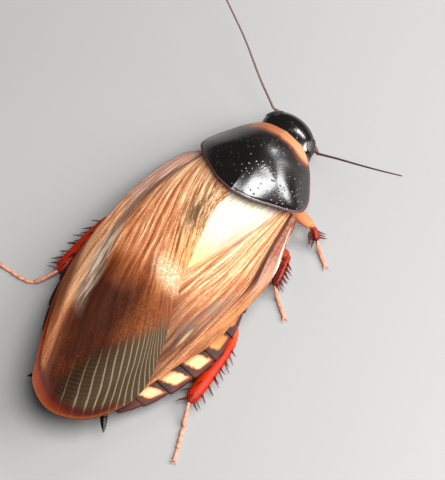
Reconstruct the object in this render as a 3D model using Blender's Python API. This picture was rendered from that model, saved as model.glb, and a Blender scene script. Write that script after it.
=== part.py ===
"""A Surinam cockroach at life size, standing still on its six feet.

The animal faces -Y, its left side is +X and the floor is z = 0. Shapes are drawn in
millimetres, with y counted backwards from the front of the head; the last step turns every
mesh into metres and sets the origin under the middle of the model.
"""

import math
import random

import bmesh
import bpy
from mathutils import Matrix, Vector

MM = 0.001
SHARP_ANGLE = math.radians(40)

# Gap that neighbouring pieces keep, and the thickness of the wing cases.
GAP = 0.3
TEGMEN_THICKNESS = 0.5

# Head: height, half width, half depth and place of its middle, from the crown to the mouth.
HEAD_STATIONS = (
    (3.05, 0.55, 0.40, 1.50),
    (2.98, 1.15, 0.80, 1.45),
    (2.75, 1.60, 1.15, 1.38),
    (2.40, 1.84, 1.32, 1.34),
    (2.00, 1.82, 1.28, 1.38),
    (1.60, 1.52, 1.10, 1.50),
    (1.28, 1.18, 0.92, 1.64),
    (1.00, 0.92, 0.74, 1.76),
)
HEAD_SIDES = 28
EYE_CENTRE = Vector((1.32, 1.06, 2.26))
EYE_HALF_SIZES = Vector((0.50, 0.62, 0.68))
SOCKET_GAP = 0.12

# Face: the plates round the mouth, each a rounded block with its centre and half sizes.
CLYPEUS = (Vector((0.0, 1.02, 1.12)), Vector((0.62, 0.28, 0.22)))
LABRUM = (Vector((0.0, 1.20, 0.80)), Vector((0.50, 0.26, 0.24)))
MANDIBLE = (Vector((0.48, 1.55, 0.84)), Vector((0.36, 0.52, 0.28)))
LABIUM = (Vector((0.0, 2.02, 0.90)), Vector((0.50, 0.34, 0.34)))
LABIAL_PALP = (Vector((0.30, 2.05, 0.85)), Vector((0.55, 1.72, 0.42)), Vector((0.50, 1.35, 0.34)))
LABIAL_PALP_RADIUS = 0.16

# Feelers of the mouth and the antennae, as the points that their middle line passes.
MAXILLARY_PALP = (
    Vector((1.22, 1.70, 0.86)),
    Vector((1.38, 1.25, 0.62)),
    Vector((1.28, 0.75, 0.58)),
    Vector((0.95, 0.35, 0.36)),
)
PALP_RADIUS = 0.25
PALP_TIP_RADIUS = 0.10
PALP_STEPS = 10
SCAPE_LEFT = (Vector((1.42, 0.12, 1.62)), Vector((2.08, 0.12, 1.90)))
SCAPE_RIGHT = (Vector((-1.42, 0.02, 1.48)), Vector((-1.86, 0.46, 1.66)))
SCAPE_RADIUS = 0.27
FLAGELLUM_RADIUS = 0.25
FLAGELLUM_TIP_RADIUS = 0.10
FLAGELLUM_LEFT = (
    Vector((2.42, -0.02, 2.10)),
    Vector((3.58, -0.51, 2.90)),
    Vector((5.72, -1.69, 3.95)),
    Vector((7.92, -2.81, 4.50)),
    Vector((10.20, -4.08, 4.70)),
)
FLAGELLUM_RIGHT = (
    Vector((-2.08, 0.76, 1.86)),
    Vector((-3.21, 0.90, 2.90)),
    Vector((-4.81, 1.05, 4.30)),
    Vector((-6.43, 1.27, 5.90)),
    Vector((-7.99, 1.48, 7.50)),
)
FLAGELLUM_STEPS = 22
FEELER_SIDES = 8
FEELER_TAPER_START = 0.66

# Pronotum: outline points of the left half as (x, y, height of the rim's top), front to rear.
PRONOTUM_OUTLINE = (
    (0.0, 1.45, 3.85),
    (1.35, 1.70, 3.65),
    (2.35, 2.45, 3.15),
    (3.05, 3.35, 2.80),
    (3.58, 4.20, 2.70),
    (3.70, 4.95, 2.95),
    (3.35, 5.50, 3.40),
    (2.40, 6.15, 4.05),
    (1.20, 6.80, 4.55),
    (0.0, 7.05, 4.75),
)
PRONOTUM_CREST = Vector((0.0, 4.55, 5.05))
PRONOTUM_DOME_POWER = 2.3
PRONOTUM_THICKNESS = 0.55
PRONOTUM_SIDES = 44
PRONOTUM_RINGS = 6

# Trunk under the wing cases, as (y, value) stations.
NECK = (Vector((0.0, 2.95, 2.25)), Vector((0.0, 3.45, 2.45)))
NECK_HALF_SIZES = (1.05, 0.62)
THORAX_HALF_WIDTH = ((3.75, 1.30), (4.4, 2.00), (5.6, 2.20), (7.0, 2.70), (8.6, 3.10), (9.5, 3.30))
THORAX_ROOF = ((3.75, 3.50), (4.7, 3.55), (5.6, 2.10))
THORAX_UNDERSIDE = 1.45
THORAX_EDGE_BOTTOM = 1.57
THORAX_EDGE_TOP = 1.70
TRUNK_SIDES = 32

# Wing cases: the vault that both follow, as (y, value) stations.
VAULT_CREST = ((5.0, 3.10), (6.2, 3.40), (7.4, 3.90), (9.0, 4.35), (11.0, 4.65), (14.0, 4.72),
               (17.0, 4.35), (20.0, 3.70), (22.0, 3.20), (23.6, 2.85))
UPPER_EDGE = ((5.0, 1.95), (8.0, 2.05), (11.0, 2.40), (13.0, 2.55), (20.0, 2.60), (23.6, 2.70))
LOWER_EDGE = ((5.0, 2.00), (8.0, 2.10), (11.0, 2.45), (13.0, 2.60), (18.0, 2.55), (20.0, 2.45),
              (22.0, 2.30), (23.6, 2.20))
VAULT_HALF_WIDTH = ((5.0, 3.75), (6.0, 4.40), (8.0, 5.00), (11.0, 5.25), (14.0, 5.20),
                    (17.0, 4.75), (19.2, 4.00), (21.3, 3.10), (22.7, 2.40), (23.6, 2.00))
LAYER_STEP = ((5.0, 0.30), (8.0, 0.30), (10.5, 0.90), (23.6, 0.90))
LAYER_LIFT = ((8.0, 0.0), (10.3, 1.0))
# How far sideways the lift reaches: the lower wing case ends before it, as (x, share).
LAYER_SPAN = ((2.9, 1.0), (4.5, 0.0))
UPPER_VAULT_POWER = 2.3
LOWER_VAULT_POWER = 1.7
TEGMEN_FRONT = 5.0
TEGMEN_VEINS = 15
TEGMEN_ROWS = 13
VEIN_CROWDING = 2.0
VEIN_BOW = 0.5

# Ridges of the veins. The grid has three lines for each: its two feet and its crest, at these
# shares of the way from one vein to the next.
VEIN_LINES = (0.0, 0.55, 0.78)
VEIN_HEIGHT = 0.17
VEIN_FADE = 0.08

# The furrow that marks off the wing's inner field takes the place of this vein.
FURROW_VEIN = 12
FURROW_DEPTH = 0.085

# Outline of each wing case in four stretches, all running away from the wing's root.
LEFT_COSTAL = ((3.55, 5.30), (4.30, 5.95), (4.82, 7.50), (5.08, 9.50), (5.12, 11.60),
               (5.02, 13.80), (4.90, 15.40))
LEFT_END = ((4.90, 15.40), (4.46, 17.40), (3.70, 19.20), (2.75, 21.30), (1.82, 22.75),
            (0.13, 23.40), (-1.70, 22.60), (-2.88, 20.80), (-3.20, 19.20), (-2.85, 17.20),
            (-2.10, 15.20), (-1.25, 12.80), (-0.62, 10.60), (-0.25, 8.60), (-0.05, 7.40))
LEFT_BASE = ((3.55, 5.30), (2.10, 5.10), (0.35, 5.75))
LEFT_SUTURE = ((0.35, 5.75), (0.10, 6.55), (-0.05, 7.40))
RIGHT_COSTAL = ((-3.40, 5.20), (-3.75, 5.95), (-4.22, 7.30), (-4.65, 8.60), (-4.80, 10.10),
                (-4.80, 12.20), (-4.78, 13.80))
RIGHT_END = ((-4.78, 13.80), (-4.52, 15.20), (-4.00, 16.70), (-3.55, 18.20), (-3.15, 19.60),
             (-2.60, 21.20), (-1.50, 22.35), (-0.20, 22.70), (1.10, 22.20), (2.20, 20.80),
             (2.70, 18.60), (2.50, 16.00), (1.70, 13.60), (0.55, 11.60), (-0.35, 10.30),
             (-0.62, 8.60), (-0.42, 7.40))
RIGHT_BASE = ((-3.40, 5.20), (-2.10, 5.10), (-0.40, 5.75))
RIGHT_SUTURE = ((-0.40, 5.75), (-0.38, 6.55), (-0.42, 7.40))

# Abdomen: rear borders of its rings along the back, and half widths.
ABDOMEN_FRONT = 9.85
TERGITE_REARS = (11.5, 13.2, 14.9, 16.5, 18.1, 19.6, 20.8)
TERGITE_STEP = 0.10
TERGITE_STEP_LENGTH = 0.02
ABDOMEN_HALF_WIDTH = ((9.8, 4.10), (11.5, 4.60), (13.2, 4.98), (14.9, 5.14), (16.5, 4.85),
                      (18.1, 4.35), (19.6, 3.62), (20.8, 2.75))
ABDOMEN_UNDERSIDE = ((9.8, 1.30), (12.5, 1.25), (14.5, 0.90), (18.0, 0.85), (22.0, 1.10))
ABDOMEN_EDGE_TOP = 1.62
ABDOMEN_EDGE_BOTTOM = 1.34
ROOF_POWER = 1.8
BELLY_POWER = 3
ANAL_PLATE = ((20.95, 1.70), (21.70, 1.52), (22.25, 0.95), (22.42, 0.40))
CERCUS = (Vector((2.05, 21.30, 1.40)), Vector((2.80, 22.25, 1.42)))
CERCUS_RADIUS = 0.34
CERCUS_TIP_RADIUS = 0.08

# Legs: the joints of each, from the trunk to the toe. Left legs are +X.
LEG_JOINTS = {
    "fore_right": ((-1.05, 3.65, 1.20), (-1.75, 4.35, 1.00), (-4.20, 4.55, 1.00),
                   (-4.88, 5.00, 0.72), (-6.13, 5.82, 0.20)),
    "fore_left": ((1.05, 3.65, 1.20), (1.75, 4.35, 1.00), (3.10, 4.95, 1.00),
                  (3.62, 3.80, 0.70), (3.50, 2.55, 0.20)),
    "mid_right": ((-1.05, 5.70, 1.05), (-2.25, 6.95, 0.92), (-4.28, 7.02, 0.95),
                  (-4.68, 8.80, 0.70), (-6.25, 9.93, 0.20)),
    "mid_left": ((1.05, 5.70, 1.05), (2.25, 6.95, 0.92), (4.10, 6.85, 0.95),
                 (4.62, 8.70, 0.70), (5.12, 10.60, 0.20)),
    "hind_right": ((-0.90, 8.20, 0.98), (-1.90, 10.45, 0.76), (-4.92, 12.95, 0.66),
                   (-5.25, 17.55, 0.66), (-6.67, 20.74, 0.20)),
    "hind_left": ((0.90, 8.20, 0.98), (1.90, 10.45, 0.76), (5.62, 11.30, 0.66),
                  (5.84, 15.78, 0.64), (8.96, 17.45, 0.20)),
}
# Sideways bend of the tarsus at its first floor contact, where the photo shows one.
TARSUS_BEND = {"hind_left": Vector((-0.30, 0.72, 0.0))}
LEG_SIZES = {
    "fore": {"coxa": (0.60, 0.32), "femur": (0.46, 0.34), "tibia": (0.34, 0.30)},
    "mid": {"coxa": (0.72, 0.32), "femur": (0.48, 0.34), "tibia": (0.36, 0.30)},
    "hind": {"coxa": (0.78, 0.32), "femur": (0.54, 0.34), "tibia": (0.42, 0.32)},
}
JOINT_GAP = 0.16
ROOT_NARROWING = 0.75
KNEE_NARROWING = 0.60

# Spines of the tibiae. A row is: turn round the shin from its outer side towards its top in
# degrees, number of spines, first and last place along the shin, and lean towards the foot.
SPINE_ROWS = {
    "fore": ((25, 3, 0.30, 0.90, 40), (-30, 3, 0.25, 0.85, 40), (165, 2, 0.45, 0.85, 40)),
    "mid": ((30, 4, 0.25, 0.93, 40), (-20, 4, 0.18, 0.85, 40), (160, 4, 0.30, 0.90, 40)),
    "hind": ((15, 4, 0.18, 0.94, 35), (-20, 4, 0.26, 0.86, 35), (190, 5, 0.25, 0.93, 35)),
}
SPINE_LENGTH = {"fore": 0.60, "mid": 0.70, "hind": 0.78}
SPINE_RADIUS = 0.20
SPINE_TIP_RADIUS = 0.025
SPINE_SIDES = 5
SPINE_SEED = 7

# Share of the shin's radius at which a spine is rooted, and how far each spine strays from its
# row: along the shin as a share, round it and in its lean in degrees, and in length as a factor.
SPINE_ROOT = 0.35
SPINE_STRAY = 0.02
SPINE_TURN_STRAY = 6
SPINE_LEAN_STRAY = 5
SPINE_LENGTH_RANGE = (0.85, 1.1)
TARSUS_RADIUS = 0.27
TARSUS_TIP_RADIUS = 0.21
TARSUS_JOINTS = 5
TARSUS_LANDING = 0.4
SOLE_SINK = 0.82
LIMB_SIDES = 10

# Surface colours, roughness and metallic value of each kind of piece.
BLACK_SHELL = ((0.012, 0.009, 0.008), 0.18, 0.0)
EYE_SHELL = ((0.030, 0.022, 0.020), 0.25, 0.0)
WING_CASE = ((0.330, 0.115, 0.035), 0.32, 0.0)
BELLY_SHELL = ((0.090, 0.020, 0.010), 0.35, 0.0)
RED_LEG = ((0.480, 0.050, 0.012), 0.30, 0.0)
PALE_FOOT = ((0.620, 0.300, 0.180), 0.40, 0.0)
FEELER = ((0.150, 0.045, 0.025), 0.45, 0.0)


def smoothed(stations, at):
    """Value at one place of a smooth curve through (place, value) stations."""
    if at <= stations[0][0]:
        return stations[0][1]
    if at >= stations[-1][0]:
        return stations[-1][1]
    index = max(i for i, station in enumerate(stations) if station[0] <= at)
    (x0, y0), (x1, y1) = stations[index], stations[index + 1]
    before = stations[max(index - 1, 0)]
    after = stations[min(index + 2, len(stations) - 1)]
    slope0 = (y1 - before[1]) / (x1 - before[0])
    slope1 = (after[1] - y0) / (after[0] - x0)
    span = x1 - x0
    t = (at - x0) / span
    return ((2 * t**3 - 3 * t**2 + 1) * y0 + (t**3 - 2 * t**2 + t) * span * slope0
            + (3 * t**2 - 2 * t**3) * y1 + (t**3 - t**2) * span * slope1)


def along(points, share):
    """Point at a share of the length of a smooth curve through the points."""
    vectors = [Vector(p) for p in points]
    lengths = [0.0]
    for a, b in zip(vectors, vectors[1:]):
        lengths.append(lengths[-1] + (b - a).length)
    at = share * lengths[-1]
    axes = range(len(vectors[0]))
    return Vector([smoothed([(l, v[axis]) for l, v in zip(lengths, vectors)], at) for axis in axes])


def material(name, look):
    colour, roughness, metallic = look
    made = bpy.data.materials.new(name)
    made.use_nodes = True
    shader = made.node_tree.nodes["Principled BSDF"]
    shader.inputs["Base Color"].default_value = (*colour, 1.0)
    shader.inputs["Roughness"].default_value = roughness
    shader.inputs["Metallic"].default_value = metallic
    made.diffuse_color = (*colour, 1.0)
    return made


def add_object(name, bm, look=None):
    """Make an object of a bmesh, with its faces pointing out."""
    bmesh.ops.recalc_face_normals(bm, faces=bm.faces)
    mesh = bpy.data.meshes.new(name)
    bm.to_mesh(mesh)
    bm.free()
    mesh.shade_smooth()
    mesh.set_sharp_from_angle(angle=SHARP_ANGLE)
    made = bpy.data.objects.new(name, mesh)
    bpy.context.scene.collection.objects.link(made)
    if look:
        mesh.materials.append(material(name, look))
    return made


def mirrored(point):
    return Vector((-point[0], point[1], point[2]))


def ring(centre, across, upward, half_width, half_height, count):
    """Points of an ellipse round a centre, in the plane of two directions."""
    turns = [math.tau * (i + 0.5) / count for i in range(count)]
    return [centre + across * half_width * math.cos(a) + upward * half_height * math.sin(a)
            for a in turns]


def loft(rings):
    """Closed body: a cap of the first ring, extruded from ring to ring."""
    bm = bmesh.new()
    start = [bm.verts.new(point) for point in rings[0]]
    cap = bm.faces.new(start)
    for points in rings[1:]:
        cap = bmesh.ops.extrude_discrete_faces(bm, faces=[cap])["faces"][0]
        for vert, point in zip(cap.verts, points):
            vert.co = point
    bm.faces.new(reversed(start))
    return bm


def tube(path, half_sizes, sides=LIMB_SIDES):
    """Closed body round a path, with one (half width, half height) at each of its points."""
    rings = []
    for i, (centre, (half_width, half_height)) in enumerate(zip(path, half_sizes)):
        ahead = path[min(i + 1, len(path) - 1)] - path[max(i - 1, 0)]
        across = ahead.cross(Vector((0, 0, 1))).normalized()
        upward = across.cross(ahead).normalized()
        rings.append(ring(centre, across, upward, half_width, half_height, sides))
    return loft(rings)


def ellipsoid(centre, half_sizes, detail=2):
    bm = bmesh.new()
    bmesh.ops.create_icosphere(bm, subdivisions=detail, radius=1.0)
    bmesh.ops.scale(bm, vec=half_sizes, verts=bm.verts)
    bmesh.ops.translate(bm, vec=centre, verts=bm.verts)
    return bm


def keep_largest(bm):
    """Drop every closed surface but the one with the most faces."""
    left = set(bm.faces)
    surfaces = []
    while left:
        stack = [left.pop()]
        surface = set(stack)
        while stack:
            for edge in stack.pop().edges:
                for face in edge.link_faces:
                    if face in left:
                        left.discard(face)
                        surface.add(face)
                        stack.append(face)
        surfaces.append(surface)
    largest = max(surfaces, key=len)
    scraps = [face for surface in surfaces if surface is not largest for face in surface]
    bmesh.ops.delete(bm, geom=scraps, context="FACES")
    loose = [vert for vert in bm.verts if not vert.link_faces]
    bmesh.ops.delete(bm, geom=loose, context="VERTS")


def combine(target, tools, operation):
    """Apply one Boolean of a collection of closed objects to the target, then remove them."""
    group = bpy.data.collections.new(target.name + " tools")
    bpy.context.scene.collection.children.link(group)
    for tool in tools:
        bpy.context.scene.collection.objects.unlink(tool)
        group.objects.link(tool)
        tool.hide_render = True
        tool.display_type = "WIRE"
    boolean = target.modifiers.new("Combine", "BOOLEAN")
    boolean.operation = operation
    boolean.operand_type = "COLLECTION"
    boolean.collection = group
    boolean.solver = "EXACT"
    bpy.context.view_layer.update()
    evaluated = target.evaluated_get(bpy.context.evaluated_depsgraph_get())
    made = bpy.data.meshes.new_from_object(evaluated)
    target.modifiers.remove(boolean)
    bm = bmesh.new()
    bm.from_mesh(made)
    keep_largest(bm)
    bmesh.ops.recalc_face_normals(bm, faces=bm.faces)
    bm.to_mesh(target.data)
    bm.free()
    bpy.data.meshes.remove(made)
    for tool in tools:
        bpy.data.objects.remove(tool, do_unlink=True)
    bpy.data.collections.remove(group)
    target.data.shade_smooth()
    target.data.set_sharp_from_angle(angle=SHARP_ANGLE)


def build_head():
    across = Vector((1, 0, 0))
    backward = Vector((0, 1, 0))
    rings = [ring(Vector((0, y, z)), across, backward, half_width, half_depth, HEAD_SIDES)
             for z, half_width, half_depth, y in HEAD_STATIONS]
    head = add_object("head", loft(rings), BLACK_SHELL)
    pieces = [ellipsoid(*CLYPEUS), ellipsoid(*LABRUM), ellipsoid(*LABIUM)]
    for side in (1, -1):
        centre, half_sizes = MANDIBLE
        pieces.append(ellipsoid(Vector((side * centre.x, centre.y, centre.z)), half_sizes))
        palp = [Vector((side * p.x, p.y, p.z)) for p in LABIAL_PALP]
        sizes = [(LABIAL_PALP_RADIUS, LABIAL_PALP_RADIUS)] * len(palp)
        pieces.append(tube(palp, sizes, sides=FEELER_SIDES))
    combine(head, [add_object("mouth piece", bm) for bm in pieces], "UNION")
    sockets = []
    for side in (1, -1):
        centre = Vector((side * EYE_CENTRE.x, EYE_CENTRE.y, EYE_CENTRE.z))
        grown = EYE_HALF_SIZES + Vector((SOCKET_GAP,) * 3)
        sockets.append(add_object("eye socket", ellipsoid(centre, grown)))
    combine(head, sockets, "DIFFERENCE")


def build_eyes():
    for word, side in (("left", 1), ("right", -1)):
        centre = Vector((side * EYE_CENTRE.x, EYE_CENTRE.y, EYE_CENTRE.z))
        add_object("eye_" + word, ellipsoid(centre, EYE_HALF_SIZES), EYE_SHELL)


def tapered(points, steps, radius, tip_radius):
    """Round feeler that keeps its width for a while and then narrows to its tip."""
    path = [along(points, i / steps) for i in range(steps + 1)]
    sizes = []
    for i in range(steps + 1):
        narrowing = max(0.0, (i / steps - FEELER_TAPER_START) / (1 - FEELER_TAPER_START))
        size = radius + (tip_radius - radius) * narrowing
        sizes.append((size, size))
    return tube(path, sizes, sides=FEELER_SIDES)


def build_feelers():
    for word, scape, flagellum in (("left", SCAPE_LEFT, FLAGELLUM_LEFT),
                                   ("right", SCAPE_RIGHT, FLAGELLUM_RIGHT)):
        sizes = [(SCAPE_RADIUS * 0.8,) * 2, (SCAPE_RADIUS,) * 2, (SCAPE_RADIUS * 0.9,) * 2]
        path = [along(scape, t) for t in (0.0, 0.5, 1.0)]
        add_object("antenna_base_" + word, tube(path, sizes, sides=FEELER_SIDES), FEELER)
        bm = tapered(flagellum, FLAGELLUM_STEPS, FLAGELLUM_RADIUS, FLAGELLUM_TIP_RADIUS)
        add_object("antenna_" + word, bm, FEELER)
    for word, side in (("left", 1), ("right", -1)):
        points = [Vector((side * p.x, p.y, p.z)) for p in MAXILLARY_PALP]
        bm = tapered(points, PALP_STEPS, PALP_RADIUS, PALP_TIP_RADIUS)
        add_object("palp_" + word, bm, FEELER)


def pronotum_rim(turn):
    """Point of the rim's top edge, from the front (0) by the left side to the front (1)."""
    share = 2 * turn if turn <= 0.5 else 2 * (1 - turn)
    point = along(PRONOTUM_OUTLINE, share)
    return point if turn <= 0.5 else mirrored(point)


def build_pronotum():
    tops = []
    for k in range(1, PRONOTUM_RINGS + 1):
        share = k / PRONOTUM_RINGS
        points = []
        for i in range(PRONOTUM_SIDES):
            rim = pronotum_rim(i / PRONOTUM_SIDES)
            point = PRONOTUM_CREST.lerp(rim, share)
            drop = (PRONOTUM_CREST.z - rim.z) * share**PRONOTUM_DOME_POWER
            point.z = PRONOTUM_CREST.z - drop
            points.append(point)
        tops.append(points)
    under = [[p - Vector((0, 0, PRONOTUM_THICKNESS)) for p in points] for points in tops]
    shield = loft(tops + list(reversed(under)))
    caps = [face for face in shield.faces if len(face.verts) > 4]
    bmesh.ops.poke(shield, faces=caps)
    add_object("pronotum", shield, BLACK_SHELL)


def build_trunk():
    sizes = [NECK_HALF_SIZES] * 2
    neck = tube([Vector(NECK[0]), Vector(NECK[1])], sizes, sides=14)
    add_object("neck", neck, BELLY_SHELL)
    rings = []
    for y, half_width in THORAX_HALF_WIDTH:
        roof = max(smoothed(THORAX_ROOF, y), under_tegmina(0, y) - GAP)
        edge = max(under_tegmina(half_width, y) - GAP, THORAX_EDGE_TOP)
        rings.append(trunk_ring(y, half_width, roof, edge, THORAX_EDGE_BOTTOM, THORAX_UNDERSIDE))
    add_object("thorax", loft(rings), BELLY_SHELL)


def upper_vault(x, y):
    """Height of the outer surface of the left wing case, which lies on top."""
    edge = smoothed(UPPER_EDGE, y)
    across = min(abs(x) / smoothed(VAULT_HALF_WIDTH, y), 1.0)
    arch = edge + (smoothed(VAULT_CREST, y) - edge) * (1 - across**UPPER_VAULT_POWER)
    clear = lower_vault(x, y) + TEGMEN_THICKNESS + GAP
    lift = smoothed(LAYER_LIFT, y) * smoothed(LAYER_SPAN, x)
    return arch + lift * max(clear - arch, 0.0)


def lower_vault(x, y):
    """Height of the outer surface of the right wing case, which lies under the left one."""
    edge = smoothed(LOWER_EDGE, y)
    across = min(abs(x) / smoothed(VAULT_HALF_WIDTH, y), 1.0)
    crest = smoothed(VAULT_CREST, y) - smoothed(LAYER_STEP, y)
    return edge + max(crest - edge, 0.0) * (1 - across**LOWER_VAULT_POWER)


def under_tegmina(x, y):
    """Height of the lower wing case's underside, on either side of the body."""
    return lower_vault(x, y) - TEGMEN_THICKNESS


def wing_point(borders, s, t):
    """Point inside four border curves, with s across the wing and t out along its veins."""
    costal, end, base, suture = borders
    sides = along(costal, t) * (1 - s) + along(suture, t) * s
    ends = along(base, s**VEIN_CROWDING) * (1 - t) + along(end, s) * t
    near = Vector(costal[0]) * (1 - s) + Vector(suture[0]) * s
    far = Vector(costal[-1]) * (1 - s) + Vector(suture[-1]) * s
    point = sides + ends - near * (1 - t) - far * t
    outward = 1 if costal[0][0] > 0 else -1
    point.x += outward * VEIN_BOW * (4 * s * (1 - s)) * (4 * t * (1 - t))
    return point


def vein_line(column):
    """Place across the wing of one line of the grid, and whether it is a crest."""
    vein, line = divmod(column, len(VEIN_LINES))
    return (vein + VEIN_LINES[line]) / TEGMEN_VEINS, line == len(VEIN_LINES) - 1


def vein_height(column, t):
    """Height of the vein, or depth of the furrow beside the wing's inner field."""
    if not vein_line(column)[1]:
        return 0.0
    height = -FURROW_DEPTH if column // len(VEIN_LINES) == FURROW_VEIN else VEIN_HEIGHT
    return height * max(0.0, min(1.0, t / VEIN_FADE, (1 - t) / VEIN_FADE))


def build_tegmen(name, borders, vault):
    """Wing case: a grid laid between its borders and on the vault, extruded downwards."""
    columns = TEGMEN_VEINS * len(VEIN_LINES)
    bm = bmesh.new()
    bmesh.ops.create_grid(bm, x_segments=columns, y_segments=TEGMEN_ROWS, size=1.0)
    ridges = {}
    for vert in bm.verts:
        column = round((vert.co.x + 1) / 2 * columns)
        t = (vert.co.y + 1) / 2
        ridges[vert] = vein_height(column, t)
        point = wing_point(borders, vein_line(column)[0], t)
        vert.co = Vector((point.x, point.y, vault(point.x, point.y)))
    bmesh.ops.triangulate(bm, faces=bm.faces, quad_method="FIXED")
    top = list(bm.faces)
    under = bmesh.ops.extrude_face_region(bm, geom=top, use_keep_orig=True)["geom"]
    for item in under:
        if isinstance(item, bmesh.types.BMVert):
            item.co.z -= TEGMEN_THICKNESS
    for vert, height in ridges.items():
        vert.co.z += height
    add_object(name, bm, WING_CASE)


def build_tegmina():
    build_tegmen("tegmen_left", (LEFT_COSTAL, LEFT_END, LEFT_BASE, LEFT_SUTURE), upper_vault)
    build_tegmen("tegmen_right", (RIGHT_COSTAL, RIGHT_END, RIGHT_BASE, RIGHT_SUTURE), lower_vault)


def trunk_ring(y, half_width, roof, edge_top, edge_bottom, belly):
    """Cross-section of the trunk: a low arch over a flatter belly, with thin side edges."""
    points = []
    for i in range(TRUNK_SIDES):
        turn = math.tau * (i + 0.5) / TRUNK_SIDES
        x = half_width * math.cos(turn)
        across = abs(math.cos(turn))
        if math.sin(turn) > 0:
            z = edge_top + (roof - edge_top) * (1 - across**ROOF_POWER)
            if y > TEGMEN_FRONT:
                z = min(z, under_tegmina(x, y) - GAP)
        else:
            z = edge_bottom - (edge_bottom - belly) * (1 - across**BELLY_POWER)
        points.append(Vector((x, y, z)))
    return points


def abdomen_ring(y, half_width):
    roof = under_tegmina(0, y) - GAP
    belly = smoothed(ABDOMEN_UNDERSIDE, y)
    return trunk_ring(y, half_width, roof, ABDOMEN_EDGE_TOP, ABDOMEN_EDGE_BOTTOM, belly)


def build_abdomen():
    rings = []
    front = ABDOMEN_FRONT
    for rear in TERGITE_REARS:
        rings.append(abdomen_ring(front, smoothed(ABDOMEN_HALF_WIDTH, front) - TERGITE_STEP))
        rings.append(abdomen_ring(rear, smoothed(ABDOMEN_HALF_WIDTH, rear)))
        front = rear + TERGITE_STEP_LENGTH
    for y, half_width in ANAL_PLATE:
        rings.append(abdomen_ring(y, half_width))
    add_object("abdomen", loft(rings), BELLY_SHELL)
    for word, side in (("left", 1), ("right", -1)):
        root, tip = [Vector((side * p.x, p.y, p.z)) for p in CERCUS]
        path = [root.lerp(tip, t) for t in (0.0, 0.4, 1.0)]
        sizes = [(CERCUS_RADIUS * 0.8,) * 2, (CERCUS_RADIUS,) * 2, (CERCUS_TIP_RADIUS,) * 2]
        add_object("cercus_" + word, tube(path, sizes, sides=FEELER_SIDES), BELLY_SHELL)


def limb(start, end, half_width, half_height, narrow_end):
    """Leg piece between two joints, fuller in its middle and short of both joints."""
    way = (end - start).normalized()
    start = start + way * JOINT_GAP
    end = end - way * JOINT_GAP
    shares = (0.0, 0.12, 0.45, 0.85, 1.0)
    fullness = (ROOT_NARROWING, 0.95, 1.0, 0.90, narrow_end)
    path = [start.lerp(end, t) for t in shares]
    sizes = [(half_width * f, half_height * f) for f in fullness]
    return tube(path, sizes)


def foot(start, end, bend):
    """Tarsus: a string of short joints that bends down to the floor and lies flat on it."""
    way = (end - start).normalized()
    first = start + way * JOINT_GAP
    points = [first, first.lerp(end, TARSUS_LANDING) + bend, end]
    path, sizes = [], []
    for k in range(TARSUS_JOINTS):
        for inner, fullness in ((0.08, 0.8), (0.80, 1.0)):
            share = (k + inner) / TARSUS_JOINTS
            radius = fullness * (TARSUS_RADIUS + (TARSUS_TIP_RADIUS - TARSUS_RADIUS) * share)
            point = along(points, share)
            descent = max(0.0, 1 - share / TARSUS_LANDING)
            point.z = radius * SOLE_SINK + (first.z - radius * SOLE_SINK) * descent
            path.append(point)
            sizes.append((radius, radius))
    bm = tube(path, sizes, sides=FEELER_SIDES)
    for vert in bm.verts:
        vert.co.z = max(vert.co.z, 0.0)
    return bm


def cone(root, tip, radius, tip_radius, sides):
    """Cone between two points."""
    way = tip - root
    bm = bmesh.new()
    bmesh.ops.create_cone(bm, cap_ends=True, segments=sides, radius1=radius,
                          radius2=tip_radius, depth=way.length)
    turn = way.to_track_quat("Z", "Y").to_matrix().to_4x4()
    bmesh.ops.transform(bm, matrix=Matrix.Translation((root + tip) / 2) @ turn, verts=bm.verts)
    return bm


def shin_spines(leg, start, end, half_width, half_height):
    """Spines in rows along a tibia, rooted near its middle line and leaning to the foot."""
    pair = leg.split("_")[0]
    draw = random.Random(f"{SPINE_SEED} {leg}")
    way = (end - start).normalized()
    outward = Vector((1 if leg.endswith("left") else -1, 0, 0))
    outward = (outward - way * outward.dot(way)).normalized()
    if pair == "fore":
        outward = way.cross(Vector((0, 0, 1))).normalized() * (1 if leg.endswith("right") else -1)
    upward = Vector((0, 0, 1))
    spines = []
    for turn, count, first, last, lean in SPINE_ROWS[pair]:
        for i in range(count):
            stray = draw.uniform(-SPINE_STRAY, SPINE_STRAY)
            share = first + (last - first) * i / (count - 1) + stray
            around = math.radians(turn + draw.uniform(-SPINE_TURN_STRAY, SPINE_TURN_STRAY))
            off = outward * math.cos(around) * half_width + upward * math.sin(around) * half_height
            slant = math.radians(lean + draw.uniform(-SPINE_LEAN_STRAY, SPINE_LEAN_STRAY))
            aim = off.normalized() * math.cos(slant) + way * math.sin(slant)
            root = start.lerp(end, share) + off * SPINE_ROOT
            showing = SPINE_LENGTH[pair] * draw.uniform(*SPINE_LENGTH_RANGE)
            length = off.length * (1 - SPINE_ROOT) + showing
            spines.append(cone(root, root + aim * length, SPINE_RADIUS, SPINE_TIP_RADIUS,
                               SPINE_SIDES))
    return spines


def build_legs():
    for leg, joints in LEG_JOINTS.items():
        sizes = LEG_SIZES[leg.split("_")[0]]
        places = [Vector(p) for p in joints]
        for index, piece in enumerate(("coxa", "femur", "tibia")):
            narrow = KNEE_NARROWING if piece == "femur" else ROOT_NARROWING
            bm = limb(places[index], places[index + 1], *sizes[piece], narrow)
            made = add_object(f"{piece}_{leg}", bm, RED_LEG)
        spines = shin_spines(leg, places[2], places[3], *sizes["tibia"])
        combine(made, [add_object("spine", bm) for bm in spines], "UNION")
        bend = TARSUS_BEND.get(leg, Vector((0.0, 0.0, 0.0)))
        add_object(f"tarsus_{leg}", foot(places[3], places[4], bend), PALE_FOOT)


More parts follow.
